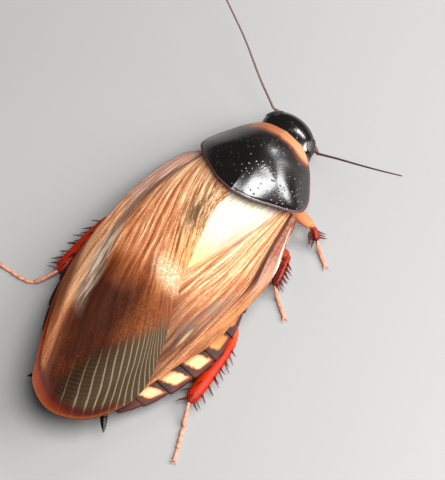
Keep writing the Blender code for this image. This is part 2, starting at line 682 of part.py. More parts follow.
def settle():
    """Turn every mesh into metres, with the origin under the middle of the model."""
    models = [item for item in bpy.data.objects if item.type == "MESH"]
    corners = [vert.co for item in models for vert in item.data.vertices]
    low = Vector([min(c[axis] for c in corners) for axis in range(3)])
    high = Vector([max(c[axis] for c in corners) for axis in range(3)])
    middle = (low + high) / 2
    to_origin = Matrix.Translation((-middle.x, -middle.y, -low.z))
    for item in models:
        item.data.transform(Matrix.Scale(MM, 4) @ to_origin)


def main():
    for item in list(bpy.data.objects):
        bpy.data.objects.remove(item, do_unlink=True)
    build_head()
    build_eyes()
    build_feelers()
    build_pronotum()
    build_trunk()
    build_tegmina()
    build_abdomen()
    build_legs()
    settle()


main()
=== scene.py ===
"""Looks of a still, life-size Surinam cockroach, laid out as a Blender add-on.

Shapes are drawn in body millimetres: x to the animal's left, y backwards from the front of the
head and z up from the floor. Each finished piece is then set on the frame, in metres.
"""

import math
import random
from functools import lru_cache

import bmesh
import bpy
from bpy.props import FloatProperty, FloatVectorProperty, PointerProperty
from bpy.types import Operator, Panel, PropertyGroup
from mathutils import Matrix, Vector


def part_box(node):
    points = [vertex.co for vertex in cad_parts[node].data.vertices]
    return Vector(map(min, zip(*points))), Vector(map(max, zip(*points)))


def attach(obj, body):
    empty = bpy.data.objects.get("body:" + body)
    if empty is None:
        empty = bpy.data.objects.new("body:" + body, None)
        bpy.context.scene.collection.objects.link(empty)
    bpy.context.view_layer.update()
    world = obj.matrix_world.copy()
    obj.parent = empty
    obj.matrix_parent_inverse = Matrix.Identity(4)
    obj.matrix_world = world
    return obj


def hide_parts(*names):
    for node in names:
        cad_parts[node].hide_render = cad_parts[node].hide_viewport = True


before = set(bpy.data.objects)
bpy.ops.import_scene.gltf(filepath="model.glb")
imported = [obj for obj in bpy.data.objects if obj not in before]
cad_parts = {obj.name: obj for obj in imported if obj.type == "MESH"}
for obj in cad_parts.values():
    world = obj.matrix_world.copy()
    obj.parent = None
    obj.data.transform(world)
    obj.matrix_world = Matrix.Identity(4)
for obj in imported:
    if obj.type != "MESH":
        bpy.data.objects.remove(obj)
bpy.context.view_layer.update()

bl_info = {
    "name": "Surinam Cockroach",
    "version": (1, 0, 0),
    "blender": (4, 5, 0),
    "location": "View3D > Sidebar > Cockroach",
    "description": "Shell, wing cases, legs and feelers of a life-size cockroach model",
    "category": "Object",
}

MM = 0.001
BODY = "root"

# The shield's front rim fixes where body millimetres lie in the frame.
SHIELD_FRONT = 1.45
SHIELD_LOW, SHIELD_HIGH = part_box("pronotum")
ORIGIN = Vector(((SHIELD_LOW.x + SHIELD_HIGH.x) / 2, SHIELD_LOW.y - SHIELD_FRONT * MM, 0.0))

# Photograph: its longer side in pixels, and the camera that took it, in body millimetres.
PHOTO_HEIGHT = 480
CAMERA_TARGET = Vector((-0.8753, 8.855, 2.0))
CAMERA_AZIMUTH = math.radians(218)
CAMERA_ELEVATION = math.radians(65)
CAMERA_DISTANCE = 160.0
FOCAL_PIXELS = 2752
SENSOR = 36.0

# Studio: the floor, the pale surroundings, and the lamps, each with its place from the middle
# of the model, its width and height in metres and its power in watts.
STAGE_MIDDLE = ORIGIN + Vector((-0.6, 7.0, 2.5)) * MM
FLOOR_SIZE = 1.2
SKY_COLOUR = (0.92, 0.95, 1.0, 1.0)
SKY_STRENGTH = 0.10
LAMPS = (
    ("window light", Vector((-0.046, 0.003, 0.132)), (0.104, 0.088), 0.32),
    ("side light", Vector((-0.095, -0.062, 0.082)), (0.106, 0.086), 0.29),
    ("front light", Vector((-0.007, -0.108, 0.090)), (0.042, 0.016), 0.045),
)

SIDES = (("left", 1), ("right", -1))
UP = Vector((0, 0, 1))
THINNEST = 0.03

# Head: height, half width, half depth and place of its middle, from the crown to the mouth.
HEAD_STATIONS = ((3.10, 0.06, 0.04, 1.50), (3.08, 0.30, 0.22, 1.50), (3.03, 0.62, 0.45, 1.49),
                 (2.94, 1.05, 0.75, 1.46), (2.75, 1.50, 1.08, 1.40), (2.40, 1.80, 1.30, 1.35),
                 (2.00, 1.80, 1.28, 1.38), (1.60, 1.52, 1.10, 1.50), (1.28, 1.18, 0.92, 1.64),
                 (1.00, 0.92, 0.74, 1.76), (0.94, 0.60, 0.50, 1.78), (0.93, 0.05, 0.05, 1.78))
HEAD_RINGS = 30
HEAD_SIDES = 56
EYE_CENTRE = Vector((1.36, 1.02, 2.12))
EYE_HALF_SIZES = Vector((0.60, 0.68, 0.70))
EYE_NOTCH = Vector((1.10, 0.45, 1.70))
EYE_NOTCH_RADIUS = 0.42
EYE_NOTCH_DEPTH = 0.30
EYE_BULGE = 1.04
OCELLUS = Vector((0.80, 0.30, 2.02))

# The head is turned a little to the animal's right and set to its left, as in the photo.
HEAD_PIVOT = Vector((0.0, 1.4, 0.0))
HEAD_SHIFT = Vector((0.15, -0.05, 0.10))
HEAD_TURN = (Matrix.Translation(HEAD_PIVOT + HEAD_SHIFT)
             @ Matrix.Rotation(math.radians(-8), 4, "Z") @ Matrix.Translation(-HEAD_PIVOT))

# Face: rounded plates, as centre and half sizes.
CLYPEUS = (Vector((0.0, 0.98, 1.14)), Vector((0.62, 0.26, 0.24)))
LABRUM = (Vector((0.0, 1.16, 0.82)), Vector((0.46, 0.22, 0.24)))
MANDIBLE = (Vector((0.52, 1.50, 0.86)), Vector((0.34, 0.50, 0.28)))
LABIUM = (Vector((0.0, 2.00, 0.86)), Vector((0.46, 0.30, 0.30)))
SOCKET_CENTRE = Vector((0.86, 0.58, 1.55))
SOCKET_RADIUS = 0.20
SOCKET_TILT, SOCKET_TURN = math.radians(72), math.radians(38)

# Palps and feelers: paths, joints, and radius at the root and at the tip.
MAXILLARY_PALP = ((1.22, 1.70, 0.86), (1.38, 1.25, 0.62), (1.28, 0.75, 0.58), (0.95, 0.35, 0.36))
LABIAL_PALP = ((0.30, 2.05, 0.85), (0.55, 1.72, 0.42), (0.50, 1.35, 0.34))
MAXILLARY_SIZES = (5, 0.17, 0.13)
LABIAL_SIZES = (3, 0.13, 0.10)
FEELER_LEFT = ((0.86, 0.47, 1.64), (1.20, 0.20, 1.68), (1.62, 0.10, 1.76), (2.08, 0.12, 1.90),
               (2.42, -0.02, 2.10), (3.58, -0.51, 2.90), (5.72, -1.69, 3.95),
               (7.92, -2.81, 4.50), (10.20, -4.08, 4.70))
FEELER_RIGHT = ((-0.80, 0.70, 1.64), (-1.10, 0.54, 1.58), (-1.45, 0.66, 1.58),
                (-1.74, 0.84, 1.72), (-1.98, 0.86, 1.90), (-3.21, 0.90, 2.90),
                (-4.81, 1.05, 4.30), (-6.43, 1.27, 5.90), (-7.99, 1.48, 7.50))
SCAPE_LENGTH = 0.95
PEDICEL_LENGTH = 0.26
FEELER_RINGS = 52
RING_STRETCH = 1.15
FEELER_TAPER = 0.50

# Swelling of each joint, as (share of its length, share of its full radius).
PALP_JOINT = ((0.02, 0.45), (0.12, 0.78), (0.5, 0.95), (0.82, 1.0), (0.93, 0.9), (0.985, 0.6))
SCAPE_JOINT = ((0.0, 1.4), (0.1, 1.9), (0.5, 2.2), (0.9, 2.0), (1.0, 1.2))
PEDICEL_JOINT = ((0.05, 1.1), (0.3, 1.5), (0.8, 1.4), (1.0, 1.0))
FEELER_JOINT = ((0.12, 0.84), (0.55, 1.0), (0.92, 0.98))
CERCUS_JOINT = ((0.05, 0.86), (0.5, 1.0), (0.95, 0.94))
FOOT_JOINT = ((0.03, 0.55), (0.15, 0.72), (0.55, 0.85), (0.85, 1.0), (0.97, 0.75))

# Shield: outline points of its left half as (x, y, height of the rim), front to rear.
SHIELD_OUTLINE = ((0.0, 1.62, 3.68), (1.35, 1.84, 3.50), (2.35, 2.50, 3.08), (3.05, 3.35, 2.80),
                  (3.58, 4.20, 2.70), (3.70, 4.95, 2.95), (3.35, 5.50, 3.40), (2.40, 6.15, 4.05),
                  (1.20, 6.80, 4.55), (0.0, 7.05, 4.75))
SHIELD_CREST = Vector((0.0, 4.55, 5.05))
SHIELD_POWER = 2.3
SHIELD_THICKNESS = 0.30
SHIELD_GRID = 84
SHIELD_BEVEL = 0.06
GROOVE_PLACE, GROOVE_WIDTH, GROOVE_DEPTH = 0.955, 0.018, 0.022
DENT_X, DENT_Y, DENT_SPREAD, DENT_DEPTH = 1.1, 4.9, 0.35, 0.05

# Wing cases: the vault that both follow, as (y, value) stations.
VAULT_CREST = ((5.0, 3.45), (6.2, 3.88), (7.4, 4.20), (9.0, 4.44), (11.0, 4.65), (14.0, 4.72),
               (17.0, 4.35), (20.0, 3.70), (22.0, 3.20), (23.6, 2.85))
UPPER_EDGE = ((5.0, 1.95), (8.0, 2.05), (11.0, 2.40), (13.0, 2.55), (20.0, 2.60), (23.6, 2.70))
LOWER_EDGE = ((5.0, 2.00), (8.0, 2.10), (11.0, 2.45), (13.0, 2.60), (18.0, 2.55), (20.0, 2.45),
              (22.0, 2.30), (23.6, 2.20))
VAULT_HALF_WIDTH = ((5.0, 3.75), (6.0, 4.40), (8.0, 5.00), (11.0, 5.25), (14.0, 5.20),
                    (17.0, 4.75), (19.2, 4.00), (21.3, 3.10), (22.7, 2.40), (23.6, 2.00))
LAYER_STEP = ((5.0, 0.30), (8.0, 0.30), (10.5, 0.90), (23.6, 0.90))
LAYER_LIFT = ((8.0, 0.0), (10.3, 1.0))
LAYER_CLEAR = 0.80
LIFT_START, LIFT_END = 2.8, 4.5
LAYER_SINK = 0.42
SINK_START, SINK_END = 0.4, 3.4
UPPER_VAULT_POWER = 2.3
LOWER_VAULT_POWER = 1.7
UNDER_WING = 0.5

# Outline of each wing case in four stretches, all running away from the wing's root.
LEFT_WING = (
    ((3.55, 5.30), (4.30, 5.95), (4.82, 7.50), (5.05, 9.50), (5.00, 11.60), (4.96, 13.80),
     (4.82, 15.40)),
    ((4.82, 15.40), (4.32, 17.40), (3.56, 19.20), (2.68, 21.30), (1.84, 22.80), (0.13, 23.44),
     (-1.78, 22.66), (-3.02, 20.85), (-3.38, 19.30), (-2.92, 17.20), (-2.12, 15.20),
     (-1.17, 12.80), (-0.44, 10.60), (-0.02, 8.60), (0.20, 7.40)),
    ((3.55, 5.30), (2.10, 5.10), (0.35, 5.75)),
    ((0.35, 5.75), (0.26, 6.55), (0.20, 7.40)),
)
RIGHT_WING = (
    ((-3.40, 5.20), (-3.75, 5.95), (-4.22, 7.30), (-4.65, 8.60), (-4.80, 10.10),
     (-4.80, 12.20), (-4.78, 13.80)),
    ((-4.78, 13.80), (-4.52, 15.20), (-4.00, 16.70), (-3.55, 18.20), (-3.15, 19.60),
     (-2.60, 21.20), (-1.50, 22.35), (-0.20, 22.70), (1.10, 22.20), (2.20, 20.80),
     (2.70, 18.60), (2.50, 16.00), (1.90, 13.60), (1.15, 11.60), (0.70, 10.30),
     (0.50, 8.60), (0.55, 7.40)),
    ((-3.40, 5.20), (-2.10, 5.10), (0.45, 5.60)),
    ((0.45, 5.60), (0.60, 6.55), (0.55, 7.40)),
)
VEINS = 15
VEIN_PLACE = 0.78
VEIN_CROWDING = 2.0
VEIN_BOW = 0.5
VEIN_WIDTH = 0.10
FORK_PLACES = (0.05, 0.45)
FORK_RUN = 0.15
FINE_VEIN = 0.7
VEIN_ROOT_FADE, VEIN_TIP_FADE, VEIN_SIDE_FADE = 0.05, 0.04, 0.01
VEINS_SINK = 0.85
VEINS_SINK_START, VEINS_SINK_END = 0.40, 0.75
VEIN_SWAY = 0.008
REAR_LINES = 33
LINE_CROWDING = 89
NET_LINES = 78
FURROW_LEFT = ((0.0, 0.84), (1.0, 0.84))
FURROW_RIGHT = ((0.0, 0.425), (1.0, 0.625))
FURROW_DEPTH = 1.6
FURROW_WIDTH = 0.010
WING_COLUMNS = 240
WING_ROWS = 110
WING_SEED = 11

# Patches of colour on the wing cases, as x, y, half sizes, softness and turn in degrees.
OLIVE_PATCH = (0.6, 8.9, 0.9, 2.2, 0.6, -12)
SMUDGE_PATCH = (0.76, 9.3, 0.32, 0.65, 0.7, -12)
# The next two patches are painted highlight: a grainy white glare and the cream glow at its edge.
PAINTED_GLARE_PATCH = (-0.55, 13.25, 0.60, 1.05, 0.8, -64)
GLARE_GLOW_PATCH = (-0.45, 11.7, 0.85, 1.9, 0.9, -10)
GREY_PATCH = (-3.45, 13.6, 0.42, 2.4, 0.6, 14)
CREAM_PATCH = (-3.28, 15.4, 0.07, 0.60, 0.6, 4)
THIGH_PATCH = (-3.98, 7.50, 0.24, 0.46, 0.7, -12)

# Trunk, as (y, value) stations. Behind TRUNK_COVERED the wing cases lie over it.
THORAX_HALF_WIDTH = ((3.25, 1.50), (3.6, 2.10), (4.2, 2.60), (5.0, 2.85), (7.0, 2.90), (8.6, 3.10),
                     (9.6, 3.40))
THORAX_ROOF = ((3.25, 3.20), (3.8, 3.85), (4.6, 4.20), (5.4, 4.00), (6.4, 3.00))
THORAX_RINGS = 24
THORAX_EDGE_TOP = 1.70
THORAX_EDGE_BOTTOM = 1.57
THORAX_UNDERSIDE = 1.45
THORAX_EDGE_CLEAR = 0.3
THORAX_FOLD, FOLD_LENGTH = 0.05, 1.9
TRUNK_SIDES = 72
TRUNK_COVERED = 5.0
TRUNK_CLEAR = 0.2
ROOF_POWER, FRONT_ROOF_POWER = 1.8, 3.6
BELLY_POWER = 3
NECK = ((0.0, 2.35, 2.10), (0.0, 2.95, 2.25), (0.0, 3.45, 2.45), (0.0, 4.10, 2.55))
NECK_RINGS = 16
NECK_HALF_WIDTH, NECK_HALF_HEIGHT = 1.02, 0.60
NECK_FOLD_WIDTH, NECK_FOLD_HEIGHT, NECK_FOLD_TURN = 0.05, 0.04, 1.6
ABDOMEN_FRONT = 9.6
TERGITE_REARS = (11.5, 13.2, 14.9, 16.5, 18.1, 19.6, 20.8)
TERGITE_STEP = 0.12
TERGITE_FORM = ((0.02, 0.0), (0.15, 0.35), (0.5, 0.8), (0.85, 1.0), (0.96, 1.0), (1.0, 0.85))
ABDOMEN_NOSE = ((0.34, 0.80), (0.28, 0.90), (0.16, 0.96))
NOSE_CLEAR, TERGITE_CLEAR, PLATE_CLEAR = 0.4, 0.22, 0.3
ABDOMEN_HALF_WIDTH = ((9.6, 4.00), (11.5, 4.60), (13.2, 4.98), (14.9, 5.14), (16.5, 4.85),
                      (18.1, 4.35), (19.6, 3.62), (20.8, 2.75))
ABDOMEN_UNDERSIDE = ((9.6, 1.30), (12.5, 1.25), (14.5, 0.90), (18.0, 0.85), (22.0, 1.10))
ABDOMEN_LEFT_SWELL = 1.07
ABDOMEN_EDGE_TOP = 1.62
ABDOMEN_EDGE_BOTTOM = 1.34
SPOT_SLANT = 0.45
ANAL_PLATE = ((20.95, 1.70), (21.40, 1.62), (21.90, 1.35), (22.25, 0.95), (22.42, 0.40))
CERCUS = (Vector((1.75, 20.95, 1.38)), Vector((2.05, 21.30, 1.40)), Vector((2.80, 22.25, 1.42)))
CERCUS_RADIUS = 0.30
CERCUS_JOINTS = 9
CERCUS_FLATNESS = 0.75

# Legs: the joints of each, from the trunk to the toe. Left legs are +X.
LEG_JOINTS = {
    "fore_right": ((-1.05, 3.65, 1.20), (-1.75, 4.35, 1.00), (-4.20, 4.55, 1.00),
                   (-4.88, 5.00, 0.72), (-6.13, 5.82, 0.20)),
    "fore_left": ((1.05, 3.65, 1.20), (1.75, 4.35, 1.00), (3.10, 4.95, 1.00),
                  (3.62, 3.80, 0.70), (3.50, 2.55, 0.20)),
    "mid_right": ((-1.05, 5.70, 1.05), (-2.25, 6.95, 0.92), (-4.28, 7.02, 0.95),
                  (-4.68, 8.80, 0.70), (-6.25, 9.93, 0.20)),
    "mid_left": ((1.05, 5.70, 1.05), (2.25, 6.95, 0.92), (4.10, 6.85, 0.95),
                 (4.62, 8.70, 0.70), (5.12, 10.60, 0.20)),
    "hind_right": ((-0.90, 8.20, 0.98), (-1.90, 10.45, 0.76), (-4.92, 12.95, 0.66),
                   (-5.25, 17.55, 0.66), (-6.67, 20.74, 0.20)),
    "hind_left": ((0.90, 8.20, 0.98), (1.90, 10.45, 0.76), (5.62, 11.30, 0.66),
                  (5.84, 15.78, 0.64), (8.96, 17.45, 0.20)),
}
TARSUS_BEND = {"hind_left": Vector((-0.30, 0.72, 0.0))}
TARSUS_LANDING = 0.4
TARSUS_SHARES = (0.0, 0.40, 0.56, 0.68, 0.78, 1.0)
TARSUS_TAPER = 0.22
LEG_SIZES = {
    "fore": {"coxa": (0.60, 0.32), "femur": (0.44, 0.30), "tibia": (0.26, 0.24)},
    "mid": {"coxa": (0.72, 0.32), "femur": (0.46, 0.30), "tibia": (0.27, 0.24)},
    "hind": {"coxa": (0.78, 0.32), "femur": (0.50, 0.32), "tibia": (0.43, 0.30)},
}
KNEE_SIZE = 0.62

# Shape of each leg piece along its length, as (share of the length, share of the full size).
LEG_FORMS = {
    "coxa": ((0.0, 0.30), (0.03, 0.62), (0.12, 0.90), (0.45, 1.0), (0.85, 0.82), (0.97, 0.60),
             (1.0, 0.25)),
    "femur": ((0.0, 0.30), (0.03, 0.55), (0.12, 0.85), (0.40, 1.0), (0.80, 0.80), (0.94, 0.66),
              (1.0, 0.30)),
    "tibia": ((0.0, 0.30), (0.03, 0.60), (0.10, 0.72), (0.35, 0.94), (0.75, 1.0), (0.93, 0.90),
              (1.0, 0.50)),
}

# Spines of the shins. A row is: turn round the shin from its outer side towards its top in
# degrees, number of spines, first and last place along the shin, and lean towards the foot.
SPINE_ROWS = {
    "fore": ((25, 4, 0.22, 0.95, 40), (-30, 4, 0.20, 0.90, 40), (165, 3, 0.40, 0.90, 40),
             (80, 3, 0.35, 0.92, 50)),
    "mid": ((30, 6, 0.20, 0.96, 40), (-20, 6, 0.15, 0.90, 40), (160, 5, 0.25, 0.95, 40),
            (85, 4, 0.30, 0.92, 50)),
    "hind": ((15, 7, 0.14, 0.97, 35), (-20, 7, 0.20, 0.92, 35), (190, 7, 0.20, 0.96, 35),
             (90, 4, 0.25, 0.90, 55)),
}
SPINE_LENGTH = {"fore": 0.50, "mid": 0.58, "hind": 0.62}
SPINE_SEED = 7

# Share of the shin's radius at which a spine is rooted, and how far each spine strays from its
# row: along the shin as a share, round it and in its lean in degrees, and in length as a factor.
SPINE_ROOT = 0.75
SPINE_STRAY = 0.02
SPINE_TURN_STRAY = 8
SPINE_LEAN_STRAY = 6
SPINE_LENGTH_RANGE = (0.8, 1.12)

# A spine of unit length: its stout foot, then two steps as height, narrowing and lean.
SPINE_FOOT = 0.4
SPINE_FOOT_NARROWING = 0.75
SPINE_FOOT_SIDES = 7
SPINE_STEPS = ((0.3, 0.72, 0.012), (0.29, 0.28, 0.03))
LIMB_SIDES = 16
LIMB_RINGS = 14

# Claw: points as shares of its length ahead, aside and up, and radii as shares of its length.
CLAW_PATH = ((0.0, 0.05, 0.05), (0.30, 0.22, 0.22), (0.62, 0.40, 0.16), (0.88, 0.46, -0.12),
             (0.96, 0.46, -0.24))
CLAW_RADII = (0.13, 0.12, 0.09, 0.05, 0.015)
CLAW_HEIGHT = 0.10
CLAW_ROOT = 0.25
PAD_PLACE, PAD_SIZE, PAD_HEIGHT = 0.28, 0.22, 0.07


def srgb(red, green, blue):
    """Linear colour of a screen colour given from 0 to 255."""
    return tuple((c / 255 / 12.92) if c < 11 else ((c / 255 + 0.055) / 1.055) ** 2.4
                 for c in (red, green, blue))


def colour_setting(name, description, default):
    return FloatVectorProperty(name=name, description=description, subtype="COLOR", size=3,
                               min=0.0, max=1.0, default=default)


class CockroachSizes(PropertyGroup):
    """Sizes of the finished pieces, in millimetres of the animal."""

    wing_thickness: FloatProperty(
        name="Wing case thickness", description="Thickness of a wing case, in mm",
        default=0.14, min=0.05, max=0.4)
    vein_height: FloatProperty(
        name="Vein height", description="How far a main vein stands up, in mm",
        default=0.045, min=0.0, max=0.17)
    feeler_radius: FloatProperty(
        name="Feeler radius", description="Radius of an antenna near its root, in mm",
        default=0.074, min=0.05, max=0.25)
    spine_radius: FloatProperty(
        name="Spine radius", description="Radius of a leg spine at its root, in mm",
        default=0.065, min=0.03, max=0.2)
    tarsus_radius: FloatProperty(
        name="Foot radius", description="Radius of the first foot joint, in mm",
        default=0.15, min=0.08, max=0.27)
    claw_length: FloatProperty(
        name="Claw length", description="Length of a claw, in mm",
        default=0.32, min=0.1, max=0.6)


class CockroachColours(PropertyGroup):
    """Colours of the shell."""

    shell: colour_setting("Shell", "Head and shield", srgb(8, 5, 3))
    band: colour_setting("Band", "Pale band along the shield's front", srgb(152, 76, 28))
    band_pale: colour_setting("Band light", "Lightest part of the band", srgb(174, 125, 82))
    rim: colour_setting("Rim", "Thin rim of the shield", srgb(62, 6, 10))
    wing: colour_setting("Wing case", "Root half of the wing cases", srgb(156, 94, 58))
    wing_cream: colour_setting("Wing streaks", "Pale streaks between the veins",
                               srgb(228, 196, 152))
    wing_dark: colour_setting("Wing end", "Dark rear field of the wing cases", srgb(42, 11, 1))
    wing_edge: colour_setting("Wing margin", "Clear strip along the outer margin",
                              srgb(190, 150, 130))
    leg: colour_setting("Legs", "Thighs and shins", srgb(166, 34, 2))
    foot: colour_setting("Feet", "Foot joints", srgb(204, 140, 112))
    belly: colour_setting("Belly", "Abdomen and trunk", srgb(44, 20, 12))
    spot: colour_setting("Spots", "Pale spots along the abdomen", srgb(206, 170, 122))
    feeler: colour_setting("Feelers", "Antennae and palps", srgb(80, 48, 35))


def along_axis(stations, at):
    """Value at one place of a smooth curve through (place, value) stations."""
    if at <= stations[0][0]:
        return stations[0][1]
    if at >= stations[-1][0]:
        return stations[-1][1]
    index = max(i for i, station in enumerate(stations) if station[0] <= at)
    (x0, y0), (x1, y1) = stations[index], stations[index + 1]
    before = stations[max(index - 1, 0)]
    after = stations[min(index + 2, len(stations) - 1)]
    slope0 = (y1 - before[1]) / (x1 - before[0])
    slope1 = (after[1] - y0) / (after[0] - x0)
    span = x1 - x0
    t = (at - x0) / span
    return ((2 * t**3 - 3 * t**2 + 1) * y0 + (t**3 - 2 * t**2 + t) * span * slope0
            + (3 * t**2 - 2 * t**3) * y1 + (t**3 - t**2) * span * slope1)


@lru_cache(maxsize=None)
def along(points, share):
    """Point at a share of the length of a smooth curve through the points."""
    vectors = [Vector(p) for p in points]
    lengths = [0.0]
    for a, b in zip(vectors, vectors[1:]):
        lengths.append(lengths[-1] + (b - a).length)
    at = share * lengths[-1]
    return Vector([along_axis([(l, v[axis]) for l, v in zip(lengths, vectors)], at)
                   for axis in range(len(vectors[0]))])


def path_length(points):
    vectors = [Vector(p) for p in points]
    return sum((b - a).length for a, b in zip(vectors, vectors[1:]))


def eased(value, low, high):
    """Smooth step from 0 at low to 1 at high."""
    t = max(0.0, min(1.0, (value - low) / (high - low)))
    return t * t * (3 - 2 * t)


def tuples(points):
    return tuple(tuple(p) for p in points)


def sided(point, side):
    """Point of the left half, moved to the right half where the side is -1."""
    return Vector((side * point[0], point[1], point[2]))


def sided_path(points, side):
    return tuples([sided(point, side) for point in points])


# Modelling


def clear_selection():
    if bpy.context.object and bpy.context.object.mode == "EDIT":
        bpy.ops.object.mode_set(mode="OBJECT")
    bpy.ops.object.select_all(action="DESELECT")


def started(name):
    """Take the primitive that was just added as a new piece, with its place in its mesh."""
    piece = bpy.context.object
    piece.name = piece.data.name = name
    bpy.ops.object.transform_apply(location=True, rotation=True, scale=True)
    return piece


def lay_cap(piece, points):
    """Move the corners of the selected cap to the points of a ring."""
    bm = bmesh.from_edit_mesh(piece.data)
    cap = next(face for face in bm.faces if face.select)
    for vert, point in zip(cap.verts, points):
        vert.co = point
    bmesh.update_edit_mesh(piece.data)


def close_up(sharp):
    """Turn the faces of the active piece outwards and smooth it but for sharp edges."""
    bpy.ops.object.mode_set(mode="EDIT")
    bpy.ops.mesh.select_all(action="SELECT")
    bpy.ops.mesh.normals_make_consistent(inside=False)
    bpy.ops.object.mode_set(mode="OBJECT")
    bpy.ops.object.shade_smooth_by_angle(angle=math.radians(sharp))


def loft(name, rings):
    """Closed body: a disc extruded from ring to ring."""
    clear_selection()
    bpy.ops.mesh.primitive_circle_add(vertices=len(rings[0]), radius=1, fill_type="NGON")
    piece = started(name)
    bpy.ops.object.mode_set(mode="EDIT")
    lay_cap(piece, rings[0])
    for points in rings[1:]:
        bpy.ops.mesh.extrude_region_move()
        lay_cap(piece, points)
    close_up(50)
    return piece


def ring(centre, across, upward, half_width, half_height, count):
    """Points of an ellipse round a centre, in the plane of two directions."""
    turns = [math.tau * (i + 0.5) / count for i in range(count)]
    return [centre + across * half_width * math.cos(a) + upward * half_height * math.sin(a)
            for a in turns]


def tube(name, path, half_sizes, sides=LIMB_SIDES):
    """Closed body round a path, with one (half width, half height) at each of its points."""
    rings = []
    for i, (centre, (half_width, half_height)) in enumerate(zip(path, half_sizes)):
        ahead = path[min(i + 1, len(path) - 1)] - path[max(i - 1, 0)]
        across = ahead.cross(UP).normalized()
        upward = across.cross(ahead).normalized()
        rings.append(ring(centre, across, upward, half_width, half_height, sides))
    return loft(name, rings)


def limb(name, start, end, half_width, half_height, form):
    """Leg piece between two joints, its sizes following a form along its length."""
    shares = sorted({place for place, _ in form} | {i / LIMB_RINGS for i in range(LIMB_RINGS + 1)})
    sizes = [along_axis(form, share) for share in shares]
    path = [start.lerp(end, share) for share in shares]
    return tube(name, path, [(half_width * size, half_height * size) for size in sizes])


def blob(name, centre, half_sizes, segments=32, rings=20):
    """Ball, drawn out to the half sizes."""
    clear_selection()
    bpy.ops.mesh.primitive_uv_sphere_add(segments=segments, ring_count=rings, radius=1,
                                         location=centre, scale=half_sizes)
    piece = started(name)
    bpy.ops.object.shade_smooth()
    return piece


def lay_grid(name, columns, rows, surface):
    """Sheet with a UV map: a grid whose points are laid at surface(u, v)."""
    clear_selection()
    bpy.ops.mesh.primitive_grid_add(x_subdivisions=columns, y_subdivisions=rows, size=1,
                                    location=(0.5, 0.5, 0.0))
    piece = started(name)
    for vert in piece.data.vertices:
        vert.co = surface(vert.co.x, vert.co.y)
    return piece


def finish_with(piece, kind, **settings):
    """Add a modifier and apply it."""
    modifier = piece.modifiers.new(kind.title(), kind)
    for setting, value in settings.items():
        setattr(modifier, setting, value)
    bpy.context.view_layer.objects.active = piece
    bpy.ops.object.modifier_apply(modifier=modifier.name)


def joined(name, pieces):
    """One mesh of several pieces."""
    clear_selection()
    for piece in pieces:
        piece.select_set(True)
    bpy.context.view_layer.objects.active = pieces[0]
    if len(pieces) > 1:
        bpy.ops.object.join()
    whole = bpy.context.view_layer.objects.active
    whole.name = whole.data.name = name
    return whole


def mark_shin(piece, knee, ankle):
    """Let a leg's finish know how far along the shin each point lies, from 0 to 1."""
    points = piece.data.attributes.new("shin", "FLOAT", "POINT").data
    way = ankle - knee
    for point, vert in zip(points, piece.data.vertices):
        point.value = max(0.0, (vert.co - knee).dot(way) / way.length_squared)


def turned(piece):
    """Turn a piece with the head."""
    piece.data.transform(HEAD_TURN)
    return piece


def copied(master, matrix):
    """Copy of a piece with its own mesh, moved by a matrix."""
    copy = master.copy()
    copy.data = master.data.copy()
    bpy.context.scene.collection.objects.link(copy)
    copy.data.transform(matrix)
    return copy


def dress(piece, material, slot, *nodes):
    """Give a piece its finish, set it on the frame and let it stand for its CAD nodes."""
    clear_selection()
    piece.select_set(True)
    bpy.context.view_layer.objects.active = piece
    piece.data.materials.clear()
    piece.data.materials.append(material)
    piece.scale = (MM, MM, MM)
    piece.location = ORIGIN
    bpy.ops.object.transform_apply(location=True, rotation=True, scale=True)
    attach(piece, BODY)
    if nodes:
        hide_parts(*nodes)


# Finishes


class Value:
    """A shader socket that takes part in arithmetic."""

    def __init__(self, finish, socket):
        self.finish = finish
        self.socket = socket

    def __add__(self, other):
        return self.finish.math("ADD", self, other)

    __radd__ = __add__

    def __sub__(self, other):
        return self.finish.math("SUBTRACT", self, other)

    def __rsub__(self, other):
        return self.finish.math("SUBTRACT", other, self)

    def __mul__(self, other):
        return self.finish.math("MULTIPLY", self, other)

    __rmul__ = __mul__

    def __truediv__(self, other):
        return self.finish.math("DIVIDE", self, other)

    def __pow__(self, other):
        return self.finish.math("POWER", self, other)


